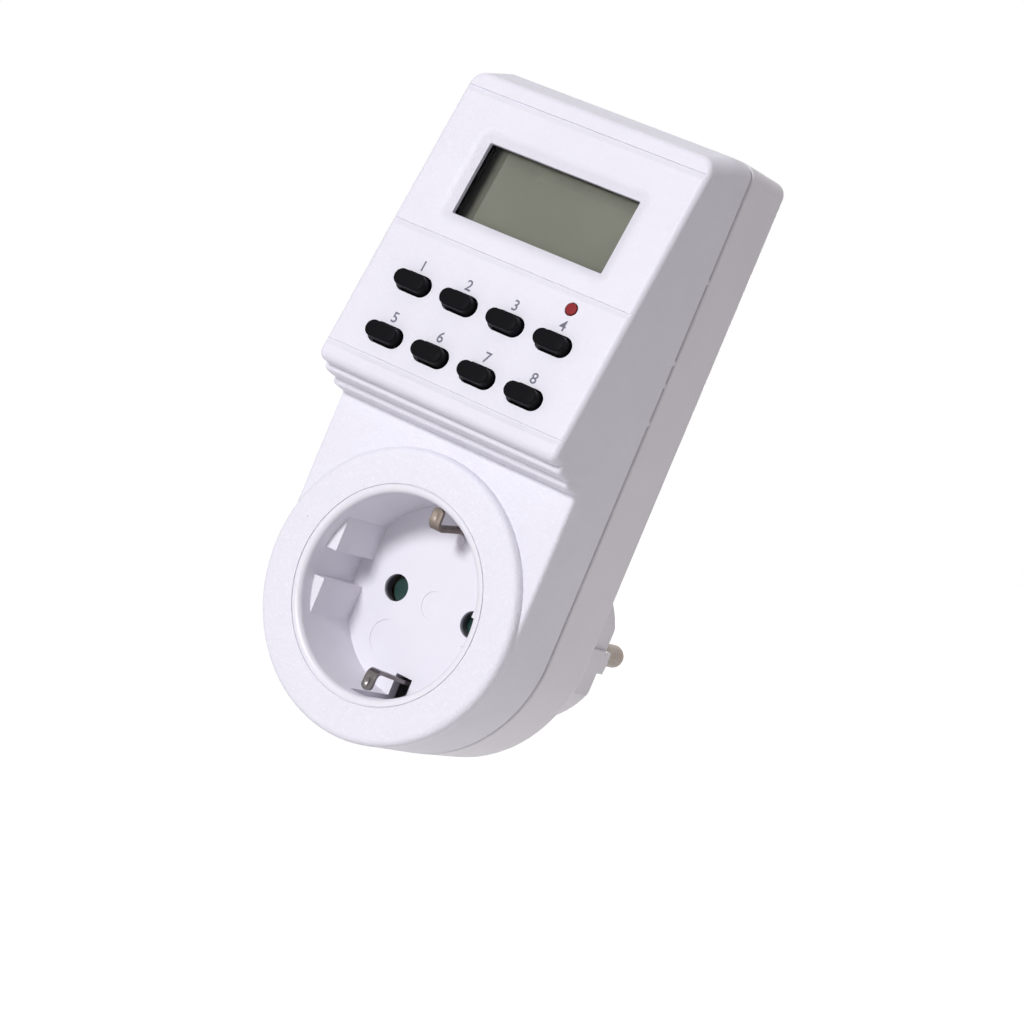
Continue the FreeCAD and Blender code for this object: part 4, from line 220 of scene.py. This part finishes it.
def case_plastic(name, color, coarse_below, grain, rough=0.42):
    """Moulded plastic, coarse on front faces below a level of Z and fine elsewhere."""
    made = Finish(name, color, rough)
    cloud = made.noise(90, 3).ramp(0.35, 0.65)
    lower = 1 - made.axis("Z").ramp(coarse_below - STEP_FADE, coarse_below + STEP_FADE)
    front = 1 - made.axis("Y").ramp(PLATE_EDGE - PLATE_FADE, PLATE_EDGE + PLATE_FADE)
    lower = lower * front
    clean = made.mix(cloud, color, tuple(part * 0.98 for part in color))
    clean = made.mix(lower, clean, tuple(part * 1.05 for part in color))
    grit = made.noise(1700, 4, 0.75)
    # Painted glints: light flecks in the colour stand in for the sparkle of the coarse texture.
    painted_glints = grit.ramp(0.56, 0.66) * (lower * 0.75 + 0.25)
    clean = made.mix(painted_glints, clean, tuple(part * 1.15 for part in color))
    dust = specks(made, cells=260, share=0.03, size=0.07)
    made.set("Base Color", made.mix(dust, clean, DUST))
    made.bump(grit * lower + made.noise(5200, 3) * 0.35, grain)
    made.set("Roughness", made.noise(1500, 3) * 0.16 + (rough - 0.08) - lower * 0.06)
    return made.material


front_white = case_plastic("front_white", (0.79, 0.778, 0.855), STEP_LINE, 0.22 * MM)
rear_white = case_plastic("rear_white", (0.785, 0.765, 0.81), NO_COARSE_PART, 0.08 * MM)

# %% [markdown]
# ## White plastic inside the recess
#
# The socket cup is the same plastic with a smoother face. The walls of its two pin holes lie in
# deep shade, which is painted into the colour, so it darkens from the floor inwards.

# %% Cup plastic
PIN_OUT = 9.5 * MM
HOLE_SHADE_INNER = 3.6 * MM
HOLE_SHADE_OUTER = 3.9 * MM
SHADE_START = -39.8 * MM
SHADE_FULL = -38.7 * MM


def cup_plastic():
    """Smooth white plastic with painted shade inside the two pin holes."""
    color = (0.80, 0.785, 0.85)
    made = Finish("inner_white", color, 0.35)
    clean = made.mix(made.noise(90, 3).ramp(0.35, 0.65), color, (0.785, 0.77, 0.835))
    # Painted shade: the walls of the pin holes darken from the floor inwards.
    side = abs(made.axis("X")) - PIN_OUT
    out = (side * side + made.axis("Z") * made.axis("Z")) ** 0.5
    hole = 1 - out.ramp(HOLE_SHADE_INNER, HOLE_SHADE_OUTER)
    hole = hole * made.axis("Y").ramp(SHADE_START, SHADE_FULL)
    made.set("Base Color", made.mix(hole, clean, (0.07, 0.065, 0.08)))
    made.set("Roughness", made.noise(1500, 3) * 0.14 + 0.28)
    made.bump(made.noise(5200, 3), 0.01 * MM)
    return made.material


inner_white = cup_plastic()

# %% [markdown]
# ## Other plastics, rubber and metals
#
# Small parts need no drawn pattern, but no real surface is perfectly even either. Their colour and
# roughness drift a little, and a very fine bump breaks up the highlights. Rolled metal strip has
# fine lines along its length, which come from noise that is stretched along Y.

# %% Plain and brushed finishes


def plain(name, color, rough, scale=400, grain=0.01 * MM, **fixed):
    """A finish with a slight drift of shade and roughness and a fine grain."""
    made = Finish(name, color, rough, **fixed)
    shade = made.noise(scale, 3).ramp(0.35, 0.65)
    made.set("Base Color", made.mix(shade, color, tuple(part * 0.9 for part in color)))
    made.set("Roughness", made.noise(scale * 2, 3) * 0.14 + (rough - 0.07))
    made.bump(made.noise(scale * 12), grain)
    return made.material


def brushed(name, color, rough, scale=2500):
    """Metal strip with fine rolling lines along Y and a slightly uneven tarnish."""
    made = Finish(name, color, rough, 1.0)
    lines = made.noise(scale, 3, stretch=(1.0, 0.03, 1.0))
    tarnish = made.noise(300, 3).ramp(0.3, 0.7)
    made.set("Base Color", made.mix(tarnish, color, tuple(part * 0.78 for part in color)))
    made.set("Roughness", lines * 0.2 + tarnish * 0.08 + (rough - 0.13))
    made.bump(lines, 0.006 * MM)
    return made.material


FINISHES = {
    "case_white": front_white,
    "cover_grey": rear_white,
    "inner_white": inner_white,
    "teal": plain("teal_plastic", (0.006, 0.042, 0.036), 0.35),
    "ivory": plain("ivory_plastic", (0.60, 0.55, 0.43), 0.5),
    "key_black": plain("key_rubber", (0.005, 0.005, 0.0065), 0.42, 900, 0.012 * MM,
                       Specular_IOR_Level=0.04),
    "red": plain("red_plastic", (0.28, 0.028, 0.032), 0.45, Specular_IOR_Level=0.1),
    "grey_rubber": plain("grey_rubber", (0.10, 0.10, 0.11), 0.65),
    "board_green": plain("board_green", (0.012, 0.11, 0.035), 0.35),
    "black_resin": plain("black_resin", (0.008, 0.008, 0.009), 0.3),
    "relay_blue": plain("relay_blue", (0.01, 0.05, 0.18), 0.3),
    "film_yellow": plain("film_yellow", (0.55, 0.32, 0.01), 0.35),
    "can_black": plain("can_black", (0.01, 0.01, 0.02), 0.4),
    "disc_blue": plain("disc_blue", (0.02, 0.06, 0.25), 0.5),
    "fuse_ceramic": plain("fuse_ceramic", (0.60, 0.60, 0.57), 0.3),
    "resistor_tan": plain("resistor_tan", (0.45, 0.28, 0.12), 0.4),
    "ribbon_grey": plain("ribbon_grey", (0.28, 0.28, 0.28), 0.5),
    "wire_brown": plain("wire_brown", (0.09, 0.03, 0.012), 0.45),
    "wire_blue": plain("wire_blue", (0.01, 0.04, 0.22), 0.45),
    "wire_black": plain("wire_black", (0.01, 0.01, 0.01), 0.45),
    "steel": brushed("steel", (0.56, 0.56, 0.55), 0.35),
    "clip_metal": brushed("clip_metal", (0.185, 0.172, 0.17), 0.22),
    "brass": brushed("brass", (0.62, 0.46, 0.20), 0.3),
    "nickel_brass": brushed("nickel_brass", (0.34, 0.29, 0.255), 0.35),
    "copper": brushed("copper", (0.60, 0.22, 0.09), 0.35, 6000),
}

# %% [markdown]
# ## Panel directions
#
# The panel leans back by 11.8 degrees, so places on it are easier to give in its own directions:
# across, up the slope and out of the face. One matrix turns these into the timer's frame.

# %% Panel directions
TILT = math.radians(11.8)
PANEL_PLACE = (0, -60.94 * MM, 70 * MM)
PANEL = Matrix.Translation(PANEL_PLACE) @ Matrix.Rotation(math.pi / 2 - TILT, 4, "X")
outwards = PANEL.to_3x3() @ Vector((0, 0, 1))
print("one millimetre out of the panel is", [round(part, 4) for part in outwards])

# %% [markdown]
# ## Display and window pane
#
# The liquid crystal display is a grey green sheet of glass behind a clear pane. It is off, so it
# shows no figures. The housing shades its left edge and a thin line along its top, which follow
# from how deep it lies, and three ramps across the glass paint that shade into its colour. The
# black strip at the left edge is partly the display's own black rim and partly painted shade, the
# half dark band beside it is painted shade, and the darker top edge is a painted shadow.

# %% Display
RIM_SHADE_INNER = -15.2 * MM
RIM_SHADE_OUTER = -16.4 * MM
BAND_SHADE_INNER = -14.3 * MM
BAND_SHADE_OUTER = -14.6 * MM
TOP_SHADOW_START = 14.2 * MM
TOP_SHADOW_FULL = 14.6 * MM
display = Finish("display_face", (0.24, 0.24, 0.19), 0.3, Specular_IOR_Level=0.1)
across = display.axis("X")
row = PANEL.inverted()[1]
up_slope = display.axis("Y") * row[1] + display.axis("Z") * row[2] + row[3]
cloud = display.noise(70, 3).ramp(0.3, 0.7)
glass = display.mix(cloud, (0.205, 0.203, 0.164), (0.190, 0.190, 0.151))
flakes = display.noise(1400, 4, 0.7).ramp(0.5, 0.62) * 0.4
glass = display.mix(flakes, glass, (0.21, 0.205, 0.175))
# Painted shadow of the window's top edge on the glass.
glass = display.mix(up_slope.ramp(TOP_SHADOW_START, TOP_SHADOW_FULL) * 0.12, glass, (0.05, 0.05, 0.04))
# Painted shade: a half dark band beside the rim.
band_shade = (1 - across.ramp(BAND_SHADE_OUTER, BAND_SHADE_INNER)) * 0.5
glass = display.mix(band_shade, glass, (0.02, 0.02, 0.016))
# Partly the display's black rim, partly painted shade of the housing's left edge.
rim_and_shade = 1 - across.ramp(RIM_SHADE_OUTER, RIM_SHADE_INNER)
display.set("Base Color", display.mix(rim_and_shade, glass, (0.003, 0.003, 0.003)))
display.set("Roughness", display.noise(900, 3) * 0.1 + 0.28)
FINISHES["lcd"] = display.material

clear = Finish("clear_pane", (0.97, 0.98, 0.98), 0.03, Transmission_Weight=1.0, IOR=1.15)
clear.set("Roughness", clear.noise(120) * 0.03 + 0.02)
FINISHES["clear"] = clear.material

# %% Every solid gets its finish
for part in frame["record"]["subparts"]:
    solid = frame["nodes"][part["node"]]
    solid.data.materials.clear()
    solid.data.materials.append(FINISHES[part["material_slot"]])

# The display's holder shows in the window beside the glass, where it is black.
frame["nodes"]["lcd_holder"].data.materials[0] = FINISHES["black_resin"]
print(len(frame["nodes"]), "solids finished")

# %% [markdown]
# ## Making a piece
#
# A new piece is shaped as a bmesh, then becomes an object parented to an empty that is named
# after one body of the frame. Its place is in its mesh, and its object stays at the origin.

# %% Make a piece


def make_piece(name, shape, finish, body, sharp=35):
    """Turn a finished bmesh into a piece with smooth shading and crisp edges."""
    bmesh.ops.recalc_face_normals(shape, faces=shape.faces)
    mesh = bpy.data.meshes.new(name)
    shape.to_mesh(mesh)
    shape.free()
    mesh.shade_smooth()
    mesh.set_sharp_from_angle(angle=math.radians(sharp))
    mesh.materials.append(finish)
    piece = bpy.data.objects.new(name, mesh)
    bpy.context.scene.collection.objects.link(piece)
    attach(piece, body)
    print(name, len(mesh.polygons), "faces")
    return piece

# %% [markdown]
# ## Keys
#
# Each key is a silicone rubber cap with straight sides and round ends. Its top is slightly crowned
# and its shoulder is soft, which gives the thin highlight round the top. It starts as a circle that
# is pulled apart into an oblong, and is extruded outline by outline: a round plunger, the collar
# that holds it behind the panel, the side and the shoulder.

# %% Oblong forms


def oblong(outlines, sides=64):
    """A closed form through level outlines, each given as its height, radius and straight half."""
    shape = bmesh.new()
    bmesh.ops.create_circle(shape, cap_ends=True, radius=1, segments=sides)
    bmesh.ops.rotate(shape, verts=shape.verts, cent=(0, 0, 0),
                     matrix=Matrix.Rotation(math.pi / sides, 3, "Z"))
    top = list(shape.faces)[0]
    before = (0, 1, 0)
    for step, outline in enumerate(outlines):
        if step:
            made = bmesh.ops.extrude_face_region(shape, geom=[top])["geom"]
            top = [part for part in made if isinstance(part, bmesh.types.BMFace)][0]
        height, radius, straight = outline
        for vert in top.verts:
            side = math.copysign(1, vert.co.x)
            vert.co.x = side * straight + (vert.co.x - side * before[2]) * radius / before[1]
            vert.co.y *= radius / before[1]
            vert.co.z = height
        before = outline
    return shape


def shoulder(height, radius, soft, crown, straight):
    """Outlines of a rounded edge and a slightly crowned top."""
    turns = [math.radians(angle) for angle in (0, 15, 30, 45, 60, 75, 90)]
    edge = [(height - crown - soft + soft * math.sin(turn), radius - soft + soft * math.cos(turn),
             straight) for turn in turns]
    flat = radius - soft
    rise = [(height - crown * share ** 2, flat * share, straight)
            for share in (0.85, 0.6, 0.3, 0.06)]
    return edge + rise


FOOT = -5.0 * MM
COLLAR_LOW = -3.0 * MM
COLLAR_HIGH = -2.0 * MM


def button_foot(plunger, collar, side, straight):
    """Outlines of the part behind the panel, up to where the side starts."""
    return [(FOOT, plunger, 0.0), (COLLAR_LOW, plunger, 0.0), (COLLAR_LOW, collar, straight),
            (COLLAR_HIGH, collar, straight), (COLLAR_HIGH, side, straight)]

# %% Eight keys
KEY_PITCH = 11.1 * MM
KEY_ROWS = {-14.4 * MM: ("key_week", "key_hour", "key_minute", "key_recall"),
            -25.5 * MM: ("key_clock", "key_timer", "key_mode", "key_random")}
KEY_FORM = button_foot(plunger=1.1 * MM, collar=2.5 * MM, side=1.75 * MM, straight=1.9 * MM)
KEY_FORM += shoulder(height=2.4 * MM, radius=1.66 * MM, soft=0.3 * MM, crown=0.08 * MM,
                     straight=1.86 * MM)
key_places = {}
for up, names in KEY_ROWS.items():
    for column, name in enumerate(names):
        key_places[name] = Vector(((column - 1.5) * KEY_PITCH, up, 0))
        cap = oblong(KEY_FORM)
        bmesh.ops.translate(cap, verts=cap.verts, vec=key_places[name])
        bmesh.ops.transform(cap, verts=cap.verts, matrix=PANEL)
        piece = make_piece(name + "_cap", cap, FINISHES["key_black"], name + "_moving",
                           30)
        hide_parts(name)

# %% [markdown]
# ## Reset pin
#
# The red reset is a small round pin that stands only a little out of its hole, to be pressed with
# a pen. It is the same kind of form as a key with no straight part.

# %% Reset pin
RESET_PLACE = Vector((16.5 * MM, -7.2 * MM, 0))
RESET_FORM = button_foot(plunger=0.85 * MM, collar=1.9 * MM, side=1.15 * MM, straight=0.0)
RESET_FORM += shoulder(height=0.3 * MM, radius=1.15 * MM, soft=0.2 * MM, crown=0.06 * MM,
                       straight=0.0)
reset = oblong(RESET_FORM, 40)
bmesh.ops.translate(reset, verts=reset.verts, vec=RESET_PLACE)
bmesh.ops.transform(reset, verts=reset.verts, matrix=PANEL)
piece = make_piece("reset_pin", reset, FINISHES["red"], "reset_button_moving", 30)
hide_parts("reset_button")

# %% [markdown]
# ## Numbers over the keys
#
# The panel has small grey printing over each key. Plain numbers from 1 to 8 stand there. Blender's
# own font makes them as a text curve, which becomes a mesh before it is laid on the panel.

# %% Numbers
PRINT_GREY = plain("print_grey", (0.15, 0.15, 0.21), 0.5, 1500)
INK = 0.02 * MM
NUMBER_SIZE = 3.0 * MM
NUMBER_BOLD = 0.035 * MM
NUMBER_ABOVE = 3.7 * MM
numbers = bmesh.new()
for count, place in enumerate(key_places.values(), start=1):
    curve = bpy.data.curves.new("number", "FONT")
    curve.body = str(count)
    curve.size = NUMBER_SIZE
    curve.extrude = INK
    curve.offset = NUMBER_BOLD
    curve.align_x = "CENTER"
    curve.align_y = "CENTER"
    writer = bpy.data.objects.new("number", curve)
    flat = bpy.data.meshes.new_from_object(writer)
    flat.transform(PANEL @ Matrix.Translation(place + Vector((0, NUMBER_ABOVE, 0))))
    numbers.from_mesh(flat)
    bpy.data.objects.remove(writer)
    bpy.data.meshes.remove(flat)
make_piece("panel_numbers", numbers, PRINT_GREY, "case")

# %% [markdown]
# ## Flash on the parting line
#
# Where the two halves of the case meet, the moulds left small nubs of plastic. Each is a small
# sphere, squashed against the side and sunk into the rounded edges of the groove.

# %% Flash nubs
NUB_RADIUS = 0.45 * MM
NUB_SQUASH = (0.6, 0.8, 1.3)
NUB_SUNK = 0.28 * MM
NUB_LINE = -40.15 * MM
NUB_LEVELS = (77.2 * MM, 60.9 * MM, 56.4 * MM, 48.7 * MM)
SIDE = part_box("front_shell")[1].x
nubs = bmesh.new()
for level in NUB_LEVELS:
    ball = bmesh.ops.create_icosphere(nubs, subdivisions=3, radius=NUB_RADIUS)["verts"]
    bmesh.ops.scale(nubs, verts=ball, vec=NUB_SQUASH)
    bmesh.ops.translate(nubs, verts=ball, vec=(SIDE - NUB_SUNK, NUB_LINE, level))
make_piece("parting_line_nubs", nubs, front_white, "case")

# %% [markdown]
# ## Earth clips
#
# Each earth clip is a strip of sheet metal that comes out of the recess floor, leans in and bends
# out again in a round nose, which presses on the earth contact of a plug. A curve with a bevel
# could make a bent strip too, but its nose could not be narrowed or pressed. So a row of points is
# pulled along the path instead, straight on or round a bend, which leaves a clean grid to shape.
# The path gives Y and Z of its corners in millimetres.

# %% Pulling a row
CLIP_PATH = [(-0.8, 15.7), (-40.7, 15.7), (-51.1, 14.6), (-51.3, 18.7)]
CLIP_BEND = 1.5 * MM
STEP_RUN = 0.25 * MM
STEP_TURN = 7


def pull(shape, row, matrix):
    """Pull a row of edges on by a matrix, and return the new row."""
    made = bmesh.ops.extrude_edge_only(shape, edges=row)["geom"]
    verts = [part for part in made if isinstance(part, bmesh.types.BMVert)]
    bmesh.ops.transform(shape, verts=verts, matrix=matrix)
    return [part for part in made if isinstance(part, bmesh.types.BMEdge)
            and all(vert in verts for vert in part.verts)]


def path_steps(path, bend):
    """Matrices that carry a row along a path, straight on and round its bends."""
    steps = []
    spot = path[0]
    for place, after in zip(path[1:], path[2:] + [None]):
        ahead = (place - spot).normalized()
        turn = ahead.angle(after - place) if after else 0.0
        trim = bend * math.tan(turn / 2)
        reach = (place - spot).length - trim
        count = max(2, round(reach / STEP_RUN))
        steps += [Matrix.Translation(ahead * reach / count)] * count
        if after:
            axis = ahead.cross(after - place).normalized()
            center = Matrix.Translation(place - ahead * trim + axis.cross(ahead) * bend)
            count = max(3, round(math.degrees(turn) / STEP_TURN))
            arc = center @ Matrix.Rotation(turn / count, 4, axis) @ center.inverted()
            steps += [arc] * count
            spot = place + (after - place).normalized() * trim
    return steps


clip_points = [Vector((0, y * MM, z * MM)) for y, z in CLIP_PATH]
clip_steps = path_steps(clip_points, CLIP_BEND)
print("a clip takes", len(clip_steps), "pulls")

# %% [markdown]
# The strap is wide inside the plug and narrow in the recess, and the end of its nose is round.
# Both come from spreading each row over its own width. The nose is also dished a little, as a
# press does.

# %% Shaping a clip
CLIP_WIDE = 2.4 * MM
STRAP_WIDE = 5.6 * MM
STRAP_SHOULDER = -29.9 * MM
TIP = 1.0 * MM
DISH_CENTER = Vector((0, -51.6 * MM, 17.0 * MM))
DISH_SIZE = Vector((0.75 * MM, 1.35 * MM))
DISH_DEEP = 0.26 * MM


def width_at(place):
    """Width of the strip at one place of its middle line."""
    if place.y > STRAP_SHOULDER:
        return STRAP_WIDE
    left = (place - clip_points[-1]).length
    inset = TIP - math.sqrt(max(TIP ** 2 - max(TIP - left, 0.0) ** 2, 0.0))
    return CLIP_WIDE - 2 * inset


def earth_clip(across=12):
    """The sheet of one strap with its clip, without thickness."""
    shape = bmesh.new()
    verts = [shape.verts.new((step / across - 0.5, *clip_points[0].yz))
             for step in range(across + 1)]
    row = [shape.edges.new(pair) for pair in zip(verts, verts[1:])]
    for matrix in clip_steps:
        row = pull(shape, row, matrix)
    for vert in shape.verts:
        vert.co.x *= width_at(Vector((0, *vert.co.yz)))
        off = Vector((vert.co.x, (vert.co - DISH_CENTER).yz.length))
        away = Vector((off.x / DISH_SIZE.x, off.y / DISH_SIZE.y)).length
        if away < 1:
            vert.co.y += DISH_DEEP * (1 - away ** 2) ** 2
    return shape

# %% Both clips
SHEET = 0.8 * MM
SOFT_EDGE = 0.14 * MM
# The two clips are the same metal, yet the upper one gets a lighter, rougher copy of the finish, so
# that each matches the light it catches: the difference in colour is painted light.
DULL_RELIT = brushed("clip_metal_dull_relit", (0.31, 0.26, 0.225), 0.55)
for name, flip, finish in (("earth_strap_top", 1, DULL_RELIT),
                           ("earth_strap_bottom", -1, FINISHES["clip_metal"])):
    clip = earth_clip()
    bmesh.ops.scale(clip, verts=clip.verts, vec=(1, 1, flip))
    piece = make_piece(name + "_metal", clip, finish, "case", 80)
    sheet = piece.modifiers.new("sheet", "SOLIDIFY")
    sheet.thickness = SHEET
    sheet.offset = 0
    edges = piece.modifiers.new("soft edges", "BEVEL")
    edges.width = SOFT_EDGE
    edges.segments = 3
    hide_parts(name)

# %% [markdown]
# ## Hairline round the socket cup
#
# The cup stands in a hole of the front shell, and only a shallow hairline shows between them. A
# thin white ring just under the face closes the gap, as the cup's own shoulder does on the real
# timer. It is a small circle, spun once round the middle of the cup.

# %% Hairline
RING_THICK = 0.12 * MM
RING_RADIUS = 21.175 * MM
RING_PLACE = -57.1 * MM
hairline = bmesh.new()
bmesh.ops.create_circle(hairline, radius=RING_THICK, segments=12)
bmesh.ops.translate(hairline, verts=hairline.verts, vec=(RING_RADIUS, 0, 0))
bmesh.ops.spin(hairline, geom=list(hairline.edges), cent=(0, 0, 0), axis=(0, 1, 0),
               angle=2 * math.pi, steps=160, use_merge=True)
bmesh.ops.remove_doubles(hairline, verts=hairline.verts, dist=0.001 * MM)
bmesh.ops.translate(hairline, verts=hairline.verts, vec=(0, RING_PLACE, 0))
make_piece("cup_hairline", hairline, inner_white, "case")

# %% [markdown]
# ## Stage and light
#
# The photograph has a pure white ground and no shadow, so the floor lies well below the timer. A
# lamp from the front lights the panel. Weaker ones light the top and the back, a small card
# brightens the low part of the side, and a white world fills the rest. Both ground and world are
# white to the eye and dimmer as a light, because more light would wash out the case.

# %% Floor
FLOOR_REACH = 6
FLOOR_LEVEL = -0.16
ground = bmesh.new()
bmesh.ops.create_grid(ground, x_segments=1, y_segments=1, size=FLOOR_REACH)
ground_mesh = bpy.data.meshes.new("floor")
ground.to_mesh(ground_mesh)
ground.free()
floor = bpy.data.objects.new("floor", ground_mesh)
floor.location = (0, 0, FLOOR_LEVEL)
bpy.context.scene.collection.objects.link(floor)
paper = Finish("white_paper", (0.86, 0.86, 0.86), 0.9, Emission_Strength=1.0)
paper.set("Base Color", paper.mix(paper.noise(3), (0.87, 0.87, 0.87), (0.85, 0.85, 0.85)))
paper.set("Emission Color", paper.mix(paper.seen(), (0.0, 0.0, 0.0), (0.5, 0.5, 0.5)))
ground_mesh.materials.append(paper.material)

# %% World
FILL = 0.235
FILL_COLOR = (1.0, 0.925, 0.95, 1.0)
WHITE = (1.0, 1.0, 1.0, 1.0)
world = bpy.data.worlds.new("white_studio")
bpy.context.scene.world = world
world.use_nodes = True
sky = Tree(world.node_tree)
backdrop = world.node_tree.nodes["Background"]
sky.fill(backdrop.inputs["Color"], sky.node(
    "ShaderNodeMix", {"data_type": "RGBA"}, {0: sky.seen(), 6: FILL_COLOR, 7: WHITE}, 2))
sky.fill(backdrop.inputs["Strength"], FILL + (1 - FILL) * sky.seen())
bpy.context.scene.view_settings.view_transform = "Standard"

# %% Lamps
LAMP_COLOR = (0.985, 0.988, 1.0)


def soft_lamp(name, source, strength, spread):
    """A sun, spread degrees wide, that shines from the side that source points to."""
    made = bpy.data.objects.new(name, bpy.data.lights.new(name, "SUN"))
    made.data.energy = strength
    made.data.angle = math.radians(spread)
    made.data.color = LAMP_COLOR
    made.rotation_mode = "QUATERNION"
    made.rotation_quaternion = Vector(source).to_track_quat("Z", "Y")
    bpy.context.scene.collection.objects.link(made)


soft_lamp("front_lamp", (-0.08, -0.95, 0.30), 2.24, 13)
soft_lamp("top_lamp", (0.0, 0.2, 0.98), 0.55, 40)
soft_lamp("back_lamp", (-0.35, 0.93, -0.05), 0.9, 20)

# %% Low card beside the case
CARD_PLACE = (0.130, -0.020, -0.025)
card = bpy.data.objects.new("side_card", bpy.data.lights.new("side_card", "AREA"))
card.data.energy = 0.014
card.data.size = 0.06
card.location = CARD_PLACE
card.rotation_mode = "QUATERNION"
card.rotation_quaternion = Vector((1, 0, 0)).to_track_quat("Z", "Y")
bpy.context.scene.collection.objects.link(card)

# %% [markdown]
# ## Last update
#
# The view layer is brought up to date, so that every piece stands in its place.

# %% Update the view layer
bpy.context.view_layer.update()
